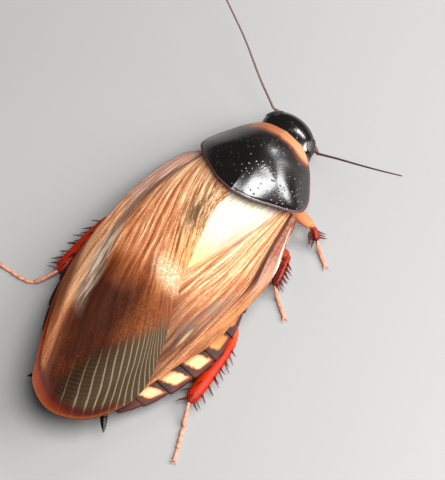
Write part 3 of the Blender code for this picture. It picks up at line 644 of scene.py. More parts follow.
class Finish:
    """Node tree of one material, ending in a Principled BSDF."""

    def __init__(self, name, **sockets):
        self.material = bpy.data.materials.new(name)
        self.material.use_nodes = True
        self.tree = self.material.node_tree
        self.shader = self.tree.nodes["Principled BSDF"]
        self.set(**sockets)
        place = self.node("ShaderNodeTexCoord").outputs["Object"]
        shift = -ORIGIN / MM
        mapping = self.node("ShaderNodeMapping", sockets={
            "Vector": Value(self, place), "Location": shift, "Scale": (1 / MM,) * 3})
        self.body = Value(self, mapping.outputs["Vector"])

    def set(self, **sockets):
        """Set sockets of the shader, named with underscores for spaces."""
        for name, value in sockets.items():
            self.feed(self.shader.inputs[name.replace("_", " ")], value)

    def feed(self, socket, value):
        if isinstance(value, Value):
            self.tree.links.new(value.socket, socket)
        elif socket.type == "RGBA" and len(value) == 3:
            socket.default_value = (*value, 1.0)
        else:
            socket.default_value = value

    def node(self, kind, settings=None, sockets=None):
        """Any node: its settings first, then the values or links of its sockets."""
        made = self.tree.nodes.new(kind)
        for name, value in (settings or {}).items():
            setattr(made, name, value)
        for name, value in (sockets or {}).items():
            self.feed(made.inputs[name], value)
        return made

    def math(self, operation, *values):
        made = self.node("ShaderNodeMath", {"operation": operation}, dict(enumerate(values)))
        return Value(self, made.outputs["Value"])

    def step(self, value, low, high):
        """Smooth step from 0 at low to 1 at high."""
        made = self.node("ShaderNodeMapRange", {"interpolation_type": "SMOOTHSTEP"},
                         {"Value": value, "From Min": low, "From Max": high})
        return Value(self, made.outputs["Result"])

    def mix_value(self, first, second, factor):
        """Number from first to second as the factor goes from 0 to 1."""
        return factor * (second - first) + first

    def mix(self, first, second, factor):
        """Colour from first to second as the factor goes from 0 to 1."""
        made = self.node("ShaderNodeMix", {"data_type": "RGBA"},
                         {0: factor, 6: first, 7: second})
        return Value(self, made.outputs[2])

    def split(self, vector):
        made = self.node("ShaderNodeSeparateXYZ", sockets={"Vector": vector})
        return [Value(self, made.outputs[axis]) for axis in "XYZ"]

    def join(self, x, y, z):
        made = self.node("ShaderNodeCombineXYZ", sockets={"X": x, "Y": y, "Z": z})
        return Value(self, made.outputs["Vector"])

    def stretched(self, vector, scale, turn=(0.0, 0.0, 0.0), location=(0.0, 0.0, 0.0)):
        made = self.node("ShaderNodeMapping", {"vector_type": "POINT"},
                         {"Vector": vector, "Scale": scale, "Rotation": turn,
                          "Location": location})
        return Value(self, made.outputs["Vector"])

    def noise(self, vector, scale=1.0, detail=3.0, roughness=0.5):
        made = self.node("ShaderNodeTexNoise", sockets={
            "Vector": vector, "Scale": scale, "Detail": detail, "Roughness": roughness})
        return Value(self, made.outputs["Fac"])

    def cells(self, vector, scale=1.0):
        """Distance to the nearest point of a scatter."""
        made = self.node("ShaderNodeTexVoronoi", sockets={"Vector": vector, "Scale": scale})
        return Value(self, made.outputs["Distance"])

    def attribute(self, name):
        made = self.node("ShaderNodeAttribute", {"attribute_name": name})
        return Value(self, made.outputs["Fac"])

    def veins(self):
        """The wing case's own coordinates: across its veins and out along them."""
        made = self.node("ShaderNodeUVMap", {"uv_map": "UVMap"})
        across, out, _ = self.split(Value(self, made.outputs["UV"]))
        return across, out

    def lines(self, across, count, width):
        """Thin lines, as wide as a share of their spacing, set where the veins stand."""
        shift = (0.5 - VEIN_PLACE * count / VEINS) % 1.0
        off = self.math("ABSOLUTE", self.math("FRACT", across * count + shift) - 0.5)
        return 1 - self.step(off, width * 0.25, width * 0.5)

    def patch(self, x, y, half_x, half_y, soft=0.5, turn=0.0):
        """Soft-edged oval seen from above: 1 inside and 0 outside."""
        centred = self.stretched(self.body, (1, 1, 0), location=(-x, -y, 0))
        turned_round = self.stretched(centred, (1, 1, 0), (0, 0, math.radians(turn)))
        sized = self.stretched(turned_round, (1 / half_x, 1 / half_y, 0))
        made = self.node("ShaderNodeVectorMath", {"operation": "LENGTH"}, {"Vector": sized})
        return 1 - self.step(Value(self, made.outputs["Value"]), 1 - soft, 1 + soft)

    def spot(self, place, radius):
        """Round spot at a place: 1 inside and 0 outside."""
        off = self.stretched(self.body, (1, 1, 1), location=-place)
        made = self.node("ShaderNodeVectorMath", {"operation": "LENGTH"}, {"Vector": off})
        return 1 - self.step(Value(self, made.outputs["Value"]), radius * 0.7, radius * 1.2)

    def bump(self, height, strength, distance):
        made = self.node("ShaderNodeBump", sockets={
            "Strength": strength, "Distance": distance * MM, "Height": height})
        self.set(Normal=Value(self, made.outputs["Normal"]))


def cercus_finish(colours):
    """Dark shell with fine pits."""
    made = Finish("cercus maroon", IOR=1.3)
    tone = made.noise(made.body, 0.6, 3)
    fine = made.noise(made.body, 9, 4)
    made.set(Base_Color=made.mix(colours.shell, srgb(44, 18, 12), tone * fine * 0.8),
             Roughness=0.13 + fine * 0.12)
    pits = made.step(made.cells(made.body, 7), 0.05, 0.32)
    made.bump(pits + fine * 0.35, 0.35, 0.03)
    return made.material


def head_finish(colours):
    """Black head, browner round the mouth and at its sides."""
    made = Finish("head black", IOR=1.8)
    _, _, z = made.split(made.body)
    low = 1 - made.step(z, 0.9, 1.7)
    fine = made.noise(made.body, 8, 4)
    tone = made.mix(colours.shell, srgb(92, 42, 24), low * (0.4 + fine * 0.8))
    for _, side in SIDES:
        place = HEAD_TURN @ sided(OCELLUS, side)
        tone = made.mix(tone, srgb(140, 92, 60), made.spot(place, 0.12) * 0.6)
    made.set(Base_Color=tone, Roughness=0.11 + fine * 0.10)
    made.bump(made.step(made.cells(made.body, 5), 0.05, 0.3), 0.3, 0.03)
    return made.material


def mouth_finish():
    """Brown, paler towards the tips of the mouth parts."""
    made = Finish("mouth brown", IOR=1.5)
    _, _, z = made.split(made.body)
    fine = made.noise(made.body, 10, 4)
    pale = made.step(z, 1.15, 0.7)
    made.set(Base_Color=made.mix(srgb(60, 26, 16), srgb(150, 88, 50), pale * (0.5 + fine)),
             Roughness=0.25 + fine * 0.2)
    made.bump(fine, 0.3, 0.02)
    return made.material


def eye_finish():
    """Compound eye: dark brown facets with a greyish bloom."""
    made = Finish("eye facets", IOR=1.5, Coat_Roughness=0.08)
    tone = made.noise(made.body, 1.6, 2)
    facets = made.cells(made.body, 17)
    colour = made.mix(srgb(24, 16, 14), srgb(84, 66, 58), made.step(tone, 0.45, 0.8))
    made.set(Base_Color=made.mix(colour, srgb(12, 8, 7), made.step(facets, 0.3, 0.6)),
             Roughness=0.14 + facets * 0.3)
    made.bump(1 - facets, 0.5, 0.02)
    return made.material


def shield_finish(colours):
    """Black shield with fine pits, a pale band in front and thin dark red rims."""
    made = Finish("shield black", IOR=1.75)
    edge = made.attribute("edge")
    front = made.attribute("front")
    x, y, _ = made.split(made.body)
    side = made.math("ABSOLUTE", x)
    ahead = made.step(front, 0.1, 0.3)
    tone = made.noise(made.body, 1.1, 3)
    fine = made.noise(made.body, 9, 4)
    colour = made.mix(colours.shell, srgb(34, 14, 10), made.step(tone, 0.5, 0.8) * 0.5)
    inner = 0.735 + 0.225 * (side / 2.25) ** 4 + (tone - 0.5) * 0.06
    depth = edge - (inner + made.step(x, 0.4, -1.4) * 0.035)
    shade = made.step(depth, -0.12, 0.04) * ahead * made.step(side, 2.9, 2.3)
    colour = made.mix(colour, srgb(110, 44, 12), shade * 0.9)
    band = made.step(depth, -0.03, 0.07) * ahead
    band = band * made.step(side + made.step(x, 0.0, 1.0) * 0.30, 2.5, 2.15)
    pale = made.step(x, 1.0, -1.4)
    band_colour = made.mix(colours.band, colours.band_pale, pale * (0.75 + fine * 0.4))
    band_colour = made.mix(band_colour, colours.band_pale, made.step(x, 1.0, 2.0) * 0.6)
    colour = made.mix(colour, band_colour, band)
    rim = made.step(edge, 0.958, 0.975) * (1 - band)
    colour = made.mix(colour, colours.rim, rim)
    # Greyish left front edge: partly the clear rim, partly a painted grey reflection of the floor.
    clear = made.step(edge, 0.90, 0.95) * made.step(x, 1.6, 2.2) * made.step(y, 4.9, 4.2)
    colour = made.mix(colour, srgb(112, 104, 98), clear * (1 - band) * 0.55)
    ahead_soft = 1 - made.step(y, 3.4, 4.6)
    rough = 0.15 + fine * 0.08 + band * 0.26 + ahead_soft * 0.10 + rim * 0.50
    made.set(Base_Color=colour, Roughness=rough)
    pits = made.step(made.cells(made.body, 3.8) + (tone - 0.5) * 0.3, 0.05, 0.26)
    made.bump(pits + fine * 0.15, 0.5, 0.05)
    return made.material


def streaked(made, colours, across, out, offset, tone):
    """Golden brown field with dark and cream streaks along the veins, paler by the tone."""
    streaks = made.noise(made.join(across * 44 + offset, out * 2.4, 0), 1, 4, 0.6)
    threads = made.noise(made.join(across * 130 + offset, out * 10, 3.0), 1, 3, 0.65)
    grain = made.noise(made.body, 11, 3, 0.6)
    blend = streaks * 0.45 + threads * 0.40 + grain * 0.15
    shade = blend + tone
    colour = made.mix(srgb(92, 48, 24), colours.wing, made.step(shade, 0.40, 0.49))
    colour = made.mix(colour, srgb(196, 142, 102), made.step(shade, 0.49, 0.56))
    return made.mix(colour, colours.wing_cream, made.step(shade, 0.55, 0.64)), blend, threads


def left_wing_finish(colours):
    """Left wing case: golden fan of veins, dark rear field with pale lines, orange rim."""
    made = Finish("left wing case", IOR=1.2)
    across, out = made.veins()
    x, y, _ = made.split(made.body)
    clouds = made.noise(made.body, 0.6, 3)
    mottle = made.noise(made.body, 6, 4, 0.6)
    root = 1 - made.step(out, 0.05, 0.45)
    colour, blend, threads = streaked(made, colours, across, out, 0, root * 0.065)
    fine_veins = made.lines(across, VEINS * 2, 0.26)
    colour = made.mix(colour, srgb(112, 58, 28), fine_veins * 0.4)
    olive = made.patch(*OLIVE_PATCH)
    olive_colour = made.mix(srgb(110, 78, 48), srgb(192, 162, 126), made.step(blend, 0.46, 0.56))
    colour = made.mix(colour, olive_colour, olive * 0.75)
    smudge = made.patch(*SMUDGE_PATCH)
    colour = made.mix(colour, srgb(84, 62, 38), smudge * made.step(blend, 0.60, 0.48) * 0.8)

    # Brown from the middle on, then the dark rear field with its red brown clouds.
    warm = (blend - 0.5) * 5 + (clouds - 0.5) * 2.5
    brown = made.mix(srgb(78, 28, 4), srgb(138, 70, 24), made.step(blend, 0.45, 0.58))
    colour = made.mix(colour, brown, made.step(y + warm, 12.4, 14.8) * 0.85)
    inner = made.step(x, 0.6, -1.3) * (1 - made.step(y, 16.8, 19.0))
    dark = made.mix(colours.wing_dark, srgb(80, 30, 7), made.step(mottle * clouds, 0.22, 0.48))
    gold = made.mix(srgb(84, 38, 8), srgb(130, 67, 22),
                    made.step(mottle * 0.5 + threads * 0.5, 0.38, 0.62))
    dark = made.mix(dark, gold, inner * 0.85)
    inside = made.step(across + (threads - 0.5) * 0.06, 0.26, 0.33)
    rear = made.step(y + warm * 0.6, 13.9, 16.0) * inside
    colour = made.mix(colour, dark, rear * 0.95)

    # Rear lines, wider apart towards the outer margin, with a fine net between them.
    bright = made.step(x, 0.8, -1.8)
    crowd = made.math("MINIMUM", made.math("MAXIMUM", across - 0.36, 0.0), 0.16)
    tight = made.math("MAXIMUM", across - 0.52, 0.0)
    count = across * REAR_LINES + crowd * crowd * LINE_CROWDING + tight * LINE_CROWDING * 0.32
    line = made.lines(count + (clouds - 0.5) * 0.3, 1, made.mix_value(0.07, 0.28, bright))
    line_colour = made.mix(srgb(86, 68, 40), srgb(134, 120, 90), bright)
    ground = made.mix(srgb(24, 11, 2), srgb(52, 38, 18), bright)
    lined = made.step(y - 1.8 * x + (mottle - 0.5) * 1.5, 18.7, 20.6)
    lined = lined * made.step(across, 0.32, 0.37)
    net = made.lines(out + threads * 0.004, NET_LINES, 0.30)
    colour = made.mix(colour, ground, lined * 0.9)
    colour = made.mix(colour, line_colour, lined * line * (0.34 + mottle * 0.66))
    colour = made.mix(colour, srgb(100, 76, 44), lined * net * 0.12)

    # Pale costal strips with grey streaks inside them.
    outer = 1 - made.step(across + (threads - 0.5) * 0.04, 0.26, 0.30)
    tan = made.step(out, 0.32, 0.48) * outer
    tan_colour = made.mix(srgb(166, 102, 64), srgb(224, 172, 128), made.step(blend, 0.42, 0.58))
    colour = made.mix(colour, tan_colour, tan * 0.9)
    low = made.step(out, 0.70, 0.84) * outer
    colour = made.mix(colour, made.mix(srgb(70, 26, 6), srgb(118, 56, 20), mottle), low * 0.9)
    grey = made.math("ABSOLUTE", across - 0.275 - (out - 0.5) * 0.08)
    grey = (1 - made.step(grey, 0.025, 0.060)) * made.step(out, 0.36, 0.46)
    grey = grey * (1 - made.step(out, 0.64, 0.74))
    grey_colour = made.mix(srgb(100, 78, 64), srgb(166, 152, 134), made.step(threads, 0.42, 0.58))
    colour = made.mix(colour, grey_colour, grey * 0.8)
    edging = made.math("ABSOLUTE", across - 0.255 - (threads - 0.5) * 0.03)
    edging = (1 - made.step(edging, 0.006, 0.022)) * made.step(out, 0.56, 0.64)
    colour = made.mix(colour, srgb(190, 138, 98), edging * (1 - made.step(out, 0.72, 0.80)) * 0.5)
    bar_place = across - 0.27 - 0.09 * (1 - made.step(out, 0.04, 0.30))
    strip = 1 - made.step(bar_place + (mottle - 0.5) * 0.02, -0.04, 0.0)
    strip = strip * (1 - made.step(out, 0.32, 0.46))
    strip_colour = made.mix(colours.wing_edge, srgb(160, 116, 98), made.step(threads, 0.45, 0.60))
    colour = made.mix(colour, strip_colour, strip)
    bar = 1 - made.step(made.math("ABSOLUTE", bar_place + (threads - 0.5) * 0.03), 0.012, 0.045)
    colour = made.mix(colour, srgb(98, 74, 64), bar * (1 - made.step(out, 0.38, 0.50)) * 0.8)
    seam = 1 - made.step(across, 0.008, 0.014)
    colour = made.mix(colour, srgb(84, 38, 26), seam * (1 - made.step(out, 0.6, 0.8)))

    # Orange rim round the tip, wider at the outer side, dark red inside.
    rim_place = out + 0.040 * (1 - made.step(across, 0.26, 0.44)) + (mottle - 0.5) * 0.012
    behind = made.step(y + 0.5 * x, 18.4, 20.6)
    rim = made.step(rim_place, 0.955, 0.985) * behind
    rim_colour = made.mix(srgb(56, 8, 1), srgb(100, 33, 2), made.step(rim_place, 0.980, 1.016))
    rim_colour = made.mix(rim_colour, srgb(114, 56, 20), made.step(out, 0.988, 0.998) * 0.7)
    colour = made.mix(colour, rim_colour, rim * 0.95)

    # Painted highlight: a grainy white glare in the middle, with a painted cream glow of it towards
    # the inner edge.
    glare_grains = made.step(made.cells(made.body, 7) + (mottle - 0.5) * 0.6, 0.56, 0.24)
    painted_glare = made.patch(*PAINTED_GLARE_PATCH)
    colour = made.mix(colour, srgb(226, 204, 168), painted_glare * (0.35 + glare_grains * 0.65))
    # Painted highlight: cream glow that spreads from the glare over the inner edge.
    painted_glow = made.patch(*GLARE_GLOW_PATCH)
    colour = made.mix(colour, srgb(206, 158, 98), painted_glow * made.step(blend, 0.42, 0.56) * 0.6)
    made.set(Base_Color=colour, Roughness=0.36 + mottle * 0.22 + threads * 0.06)
    made.bump(mottle * 0.6 + threads * 0.9 + line * lined * 0.5, 0.40, 0.03)
    return made.material


def right_wing_finish(colours):
    """Right wing case: painted white glare over the inner field, golden streak arcs, clear outer
    strip.
    """
    made = Finish("right wing case", IOR=1.2)
    across, out = made.veins()
    _, y, _ = made.split(made.body)
    clouds = made.noise(made.body, 0.6, 3)
    mottle = made.noise(made.body, 6, 4, 0.6)
    # Streaks are lightened a little where the painted glare lies.
    glare_field = 1 - made.step(out + (0.35 - across) * 0.8, 0.30, 0.46)
    colour, blend, threads = streaked(made, colours, across, out, 7.3, glare_field * 0.045)
    fine_veins = made.lines(across, VEINS * 2, 0.26)
    colour = made.mix(colour, srgb(128, 70, 40), fine_veins * 0.4)
    brown = made.mix(srgb(60, 26, 8), srgb(106, 56, 24), made.step(blend, 0.45, 0.58))
    rear = made.step(y + (clouds - 0.5) * 2 + (blend - 0.5) * 5, 12.6, 15.5)
    colour = made.mix(colour, brown, rear * made.step(across, 0.16, 0.26) * 0.8)
    margin = 1 - made.step(across + (threads - 0.5) * 0.10, 0.12, 0.22)
    margin = margin * made.step(out, 0.44, 0.60)
    margin_colour = made.mix(srgb(118, 58, 24), srgb(164, 110, 66), made.step(blend, 0.42, 0.58))
    colour = made.mix(colour, margin_colour, margin * 0.9)
    grey = made.patch(*GREY_PATCH)
    colour = made.mix(colour, srgb(98, 82, 72), grey * made.step(threads, 0.42, 0.54) * 0.7)
    cream = made.patch(*CREAM_PATCH)
    colour = made.mix(colour, srgb(158, 136, 98), cream * 0.9)

    # Painted highlight: white glare over the inner field behind the furrow, fading to a painted
    # yellow glow where it ends.
    inner = made.step(across - 0.20 * out + (threads - 0.5) * 0.05, 0.395, 0.455)
    pale = made.mix(srgb(208, 202, 184), srgb(184, 152, 112), made.step(threads, 0.54, 0.70))
    pale = made.mix(pale, srgb(176, 138, 98), fine_veins * 0.35)
    outward = 1 - made.step(across - 0.20 * out, 0.44, 0.58)
    pale = made.mix(pale, srgb(186, 146, 120), outward * made.step(blend, 0.56, 0.46) * 0.9)
    glare_yellow = made.mix(srgb(212, 184, 124), srgb(176, 116, 60), made.step(blend, 0.50, 0.60))
    pale = made.mix(pale, glare_yellow, made.step(y + (clouds - 0.5) * 2, 9.2, 11.2) * 0.85)
    ahead = 1 - made.step(y + (blend - 0.5) * 5, 10.8, 13.4)
    colour = made.mix(colour, pale, inner * ahead * 0.95)
    furrow = made.math("ABSOLUTE", across - 0.20 * out - 0.425)
    colour = made.mix(colour, srgb(140, 78, 44), (1 - made.step(furrow, 0.004, 0.018)) * 0.35)

    # Clear strip along the margin, with the dark stem vein inside it.
    edge = across + 0.22 * out
    strip = 1 - made.step(edge + (mottle - 0.5) * 0.02, 0.23, 0.26)
    strip = strip * (1 - made.step(out, 0.42, 0.56))
    strip_colour = made.mix(srgb(142, 96, 78), srgb(112, 64, 46), made.step(mottle, 0.42, 0.65))
    strip_colour = made.mix(strip_colour, srgb(168, 128, 104), made.step(out, 0.22, 0.42) * 0.8)
    thigh = made.patch(*THIGH_PATCH)
    strip_colour = made.mix(strip_colour, srgb(134, 66, 40), thigh * 0.45)
    # Painted highlight: a thin white reflection line along the margin.
    painted_gleam = made.math("ABSOLUTE", across + 0.22 * out - 0.095)
    painted_gleam = (1 - made.step(painted_gleam, 0.004, 0.016)) * made.step(out, 0.06, 0.12)
    strip_colour = made.mix(strip_colour, srgb(224, 208, 196), painted_gleam)
    colour = made.mix(colour, strip_colour, strip)
    stem = made.math("ABSOLUTE", edge - 0.262 + (threads - 0.5) * 0.01)
    stem = 1 - made.step(stem, 0.018, 0.046)
    colour = made.mix(colour, srgb(56, 15, 2), stem * (1 - made.step(out, 0.36, 0.58)) * 0.95)
    made.set(Base_Color=colour, Roughness=0.36 + mottle * 0.22 + threads * 0.06)
    made.bump(mottle * 0.5 + threads * 0.9, 0.40, 0.03)
    return made.material


def abdomen_finish(colours):
    """Dark brown rings with a cream spot at each side of the back and a maroon edge."""
    made = Finish("abdomen brown", IOR=1.25)
    x, y, z = made.split(made.body)
    fine = made.noise(made.body, 7, 4)
    clouds = made.noise(made.body, 1.3, 3)
    colour = made.mix(colours.belly, srgb(90, 42, 24), made.step(clouds, 0.4, 0.75) * 0.7)
    side = made.math("ABSOLUTE", x)
    spots = None
    for front, rear in zip(TERGITE_REARS, TERGITE_REARS[1:-1]):
        middle = (front + rear) / 2
        half = (rear - front) / 2
        at_front, reach, at_rear = [along_axis(ABDOMEN_HALF_WIDTH, place)
                                    for place in (front, middle, rear)]
        taper = (at_rear - at_front) / (2 * half)
        inset = (y - middle) * taper + reach - side
        off = made.math("ABSOLUTE", y - middle - (inset - 0.6) * SPOT_SLANT) / half
        within = 1 - made.step(off + (fine - 0.5) * 0.4, 0.36, 0.74)
        spot = within * made.step(inset, 0.14, 0.36) * (1 - made.step(inset, 0.65, 1.25) * 0.85)
        spots = spot if spots is None else made.math("MAXIMUM", spots, spot)
    upper = made.step(z, 1.45, 1.6)
    halo = made.mix(colour, srgb(178, 100, 48), made.step(spots, 0.0, 0.45) * upper)
    spot_colour = made.mix(srgb(196, 112, 50), colours.spot, made.step(y, 14.0, 15.4))
    pale = made.mix(halo, spot_colour, made.step(spots, 0.30, 0.90) * upper)
    rim = 1 - made.step(z, 1.45, 1.80)
    colour = made.mix(pale, srgb(84, 20, 17), rim * 0.8)
    made.set(Base_Color=colour, Roughness=0.38 + fine * 0.2)
    made.bump(fine + clouds * 0.4, 0.3, 0.03)
    return made.material


def trunk_finish(colours):
    """Clouded brown skin of the trunk."""
    made = Finish("trunk brown", IOR=1.5)
    fine = made.noise(made.body, 6, 4)
    clouds = made.noise(made.body, 1.5, 3)
    made.set(Base_Color=made.mix(colours.belly, srgb(168, 92, 56), made.step(clouds, 0.35, 0.8)),
             Roughness=0.28 + fine * 0.2)
    made.bump(fine, 0.3, 0.03)
    return made.material


def leg_finish(name, thigh, shin, shade):
    """Leg with its thigh and shin in two colours, clouded with a darker shade and finely rasped."""
    made = Finish(name, IOR=1.28, Specular_IOR_Level=0.35)
    fine = made.noise(made.body, 9, 4)
    clouds = made.noise(made.body, 1.4, 3)
    along_shin = made.attribute("shin")
    colour = made.mix(thigh, shin, made.step(along_shin, 0.0, 0.12))
    dim = made.step(clouds, 0.42, 0.72) * 0.5 + made.step(along_shin, 0.55, 1.0) * 0.45
    colour = made.mix(colour, shade, dim)
    made.set(Base_Color=made.mix(colour, srgb(200, 84, 24), made.step(fine, 0.6, 0.8) * 0.3),
             Roughness=0.28 + fine * 0.2)
    made.bump(fine + made.cells(made.body, 8) * 0.5, 0.25, 0.03)
    return made.material


def spine_finish():
    """Dark brown of the shin spines."""
    made = Finish("spine brown", IOR=1.5)
    fine = made.noise(made.body, 9, 3)
    made.set(Base_Color=made.mix(srgb(44, 14, 10), srgb(98, 30, 16), fine),
             Roughness=0.25 + fine * 0.15)
    return made.material


def foot_finish(colours):
    """Pale tan with redder clouds."""
    made = Finish("foot tan", IOR=1.45)
    fine = made.noise(made.body, 8, 4)
    made.set(Base_Color=made.mix(colours.foot, srgb(172, 84, 56), made.step(fine, 0.4, 0.75)),
             Roughness=0.32 + fine * 0.2)
    made.bump(fine, 0.3, 0.02)
    return made.material


def feeler_finish(colours):
    """Dark reddish brown with paler ring joints."""
    made = Finish("feeler brown", IOR=1.45)
    fine = made.noise(made.body, 7, 4)
    pale = made.step(made.noise(made.body, 1.1, 2), 0.55, 0.8)
    made.set(Base_Color=made.mix(colours.feeler, srgb(146, 96, 70), pale * 0.5 + fine * 0.2),
             Roughness=0.38 + fine * 0.2)
    made.bump(fine, 0.3, 0.02)
    return made.material


# Pieces


def head_section(z):
    """Half width, half depth and place of the middle of the head at one height."""
    return [along_axis([(station[0], station[k]) for station in reversed(HEAD_STATIONS)], z)
            for k in (1, 2, 3)]


def head_shell():
    """Lofted head with the rings of its two antenna sockets."""
    rings = []
    top, bottom = HEAD_STATIONS[0][0], HEAD_STATIONS[-1][0]
    heights = {station[0] for station in HEAD_STATIONS}
    heights |= {bottom + (top - bottom) * i / HEAD_RINGS for i in range(1, HEAD_RINGS)}
    for z in sorted(heights, reverse=True):
        half_width, half_depth, y = head_section(z)
        rings.append(ring(Vector((0, y, z)), Vector((1, 0, 0)), Vector((0, 1, 0)),
                          max(half_width, THINNEST), max(half_depth, THINNEST), HEAD_SIDES))
    parts = [loft("head_shell", rings)]
    for _, side in SIDES:
        clear_selection()
        bpy.ops.mesh.primitive_torus_add(
            location=sided(SOCKET_CENTRE, side), major_radius=SOCKET_RADIUS,
            minor_radius=SOCKET_RADIUS * 0.28, major_segments=32, minor_segments=12,
            rotation=(SOCKET_TILT, 0, side * SOCKET_TURN))
        parts.append(started("socket"))
        bpy.ops.object.shade_smooth()
    return turned(joined("head_shell", parts))


def facet_eye(name, side):
    """Compound eye, kidney-shaped round the antenna's socket and nearly flush with the head."""
    centre = sided(EYE_CENTRE, side)
    notch = sided(EYE_NOTCH, side)
    eye = blob(name, centre, EYE_HALF_SIZES, 64, 40)
    for vert in eye.data.vertices:
        near = (vert.co - notch).length / EYE_NOTCH_RADIUS
        vert.co -= (vert.co - centre) * EYE_NOTCH_DEPTH * math.exp(-near**2)
        half_width, half_depth, middle = head_section(vert.co.z)
        reach = math.hypot(vert.co.x / half_width, (vert.co.y - middle) / half_depth)
        if reach > EYE_BULGE:
            vert.co.x *= EYE_BULGE / reach
            vert.co.y = middle + (vert.co.y - middle) * EYE_BULGE / reach
    return turned(eye)


def mouth_parts():
    """Plates of the face, the jaws and the short inner palps."""
    parts = [blob("mouth part", *plate) for plate in (CLYPEUS, LABRUM, LABIUM)]
    for _, side in SIDES:
        centre, half_sizes = MANDIBLE
        parts.append(blob("mouth part", sided(centre, side), half_sizes))
        parts.append(jointed("mouth part", sided_path(LABIAL_PALP, side), *LABIAL_SIZES))
    return turned(joined("mouth_parts", parts))


def jointed(name, path, joints, radius, tip_radius, sides=14):
    """Feeler of a few swollen joints along a path."""
    places, sizes = [], []
    for k in range(joints):
        for inner, fullness in PALP_JOINT:
            share = (k + inner) / joints
            size = fullness * (radius + (tip_radius - radius) * share)
            places.append(along(path, share))
            sizes.append((size, size))
    places.append(along(path, 1.0))
    sizes.append((tip_radius * 0.2,) * 2)
    return tube(name, places, sizes, sides)


def antenna(name, path, radius):
    """Stout first two joints, then a whip of many short rings that narrows to its tip."""
    total = path_length(path)
    places, sizes = [], []

    def add(length, size):
        places.append(along(path, min(length / total, 1.0)))
        sizes.append((size, size))

    for inner, fullness in SCAPE_JOINT:
        add(inner * SCAPE_LENGTH, radius * fullness)
    for inner, fullness in PEDICEL_JOINT:
        add(SCAPE_LENGTH + inner * PEDICEL_LENGTH, radius * fullness)
    start = SCAPE_LENGTH + PEDICEL_LENGTH
    for k in range(FEELER_RINGS):
        share = (k / FEELER_RINGS) ** RING_STRETCH
        after = ((k + 1) / FEELER_RINGS) ** RING_STRETCH
        width = radius * (1.0 - FEELER_TAPER * share)
        for inner, fullness in FEELER_JOINT:
            add(start + (total - start) * (share + (after - share) * inner), width * fullness)
    add(total, radius * 0.2)
    return tube(name, places, sizes, 12)


def shield_rim(turn):
    """Point of the shield's rim, from the front (0) by the left side to the front (1)."""
    share = 2 * turn if turn <= 0.5 else 2 * (1 - turn)
    point = along(SHIELD_OUTLINE, round(share, 6))
    return sided(point, 1 if turn <= 0.5 else -1)


def disc_place(u, v):
    """Distance from the middle and turn from the front, for a grid pressed into a disc."""
    a, b = 2 * u - 1, 2 * v - 1
    x, y = a * math.sqrt(1 - b * b / 2), b * math.sqrt(1 - a * a / 2)
    return min(math.hypot(x, y), 1.0), (math.atan2(x, -y) / math.tau) % 1.0


def shield_point(u, v):
    """Point of the shield's top, with its groove along the rim and its two dents."""
    reach, turn = disc_place(u, v)
    rim = shield_rim(turn)
    point = SHIELD_CREST.lerp(rim, reach)
    point.z = SHIELD_CREST.z - (SHIELD_CREST.z - rim.z) * reach**SHIELD_POWER
    groove = math.exp(-((reach - GROOVE_PLACE) / GROOVE_WIDTH) ** 2)
    dents = math.exp(-((abs(point.x) - DENT_X) ** 2 + (point.y - DENT_Y) ** 2) / DENT_SPREAD)
    point.z -= GROOVE_DEPTH * groove + DENT_DEPTH * dents
    return point


def shield():
    """Domed plate that knows its edge and its front."""
    piece = lay_grid("shield", SHIELD_GRID, SHIELD_GRID, shield_point)
    edge = piece.data.attributes.new("edge", "FLOAT", "POINT")
    front = piece.data.attributes.new("front", "FLOAT", "POINT")
    count = SHIELD_GRID + 1
    for index in range(len(piece.data.vertices)):
        reach, turn = disc_place((index % count) / SHIELD_GRID, (index // count) / SHIELD_GRID)
        edge.data[index].value = reach
        front.data[index].value = math.cos(turn * math.tau)
    finish_with(piece, "SOLIDIFY", thickness=SHIELD_THICKNESS, offset=-1.0,
                use_even_offset=False)
    finish_with(piece, "BEVEL", width=SHIELD_BEVEL, segments=3, limit_method="ANGLE",
                angle_limit=math.radians(50))
    bpy.ops.object.shade_smooth_by_angle(angle=math.radians(60))
    return piece


def upper_vault(x, y):
    """Height of the left wing case's outer surface, which lies on top."""
    edge = along_axis(UPPER_EDGE, y)
    across = min(abs(x) / along_axis(VAULT_HALF_WIDTH, y), 1.0)
    arch = edge + (along_axis(VAULT_CREST, y) - edge) * (1 - across**UPPER_VAULT_POWER)
    lift = along_axis(LAYER_LIFT, y) * eased(x, LIFT_END, LIFT_START)
    height = arch + lift * max(lower_vault(x, y) + LAYER_CLEAR - arch, 0.0)
    return height - LAYER_SINK * lift * eased(x, SINK_END, SINK_START)


def lower_vault(x, y):
    """Height of the right wing case's outer surface, which lies under the left one."""
    edge = along_axis(LOWER_EDGE, y)
    across = min(abs(x) / along_axis(VAULT_HALF_WIDTH, y), 1.0)
    crest = along_axis(VAULT_CREST, y) - along_axis(LAYER_STEP, y)
    return edge + max(crest - edge, 0.0) * (1 - across**LOWER_VAULT_POWER)


def wing_point(borders, u, v):
    """Point between four border curves, u across the wing case and v out along its veins."""
    costal, end, base, suture = borders
    sides = along(costal, v) * (1 - u) + along(suture, v) * u
    ends = along(base, u**VEIN_CROWDING) * (1 - v) + along(end, u) * v
    near = Vector(costal[0]) * (1 - u) + Vector(suture[0]) * u
    far = Vector(costal[-1]) * (1 - u) + Vector(suture[-1]) * u
    point = sides + ends - near * (1 - v) - far * v
    outward = 1 if costal[0][0] > 0 else -1
    point.x += outward * VEIN_BOW * (4 * u * (1 - u)) * (4 * v * (1 - v))
    return point


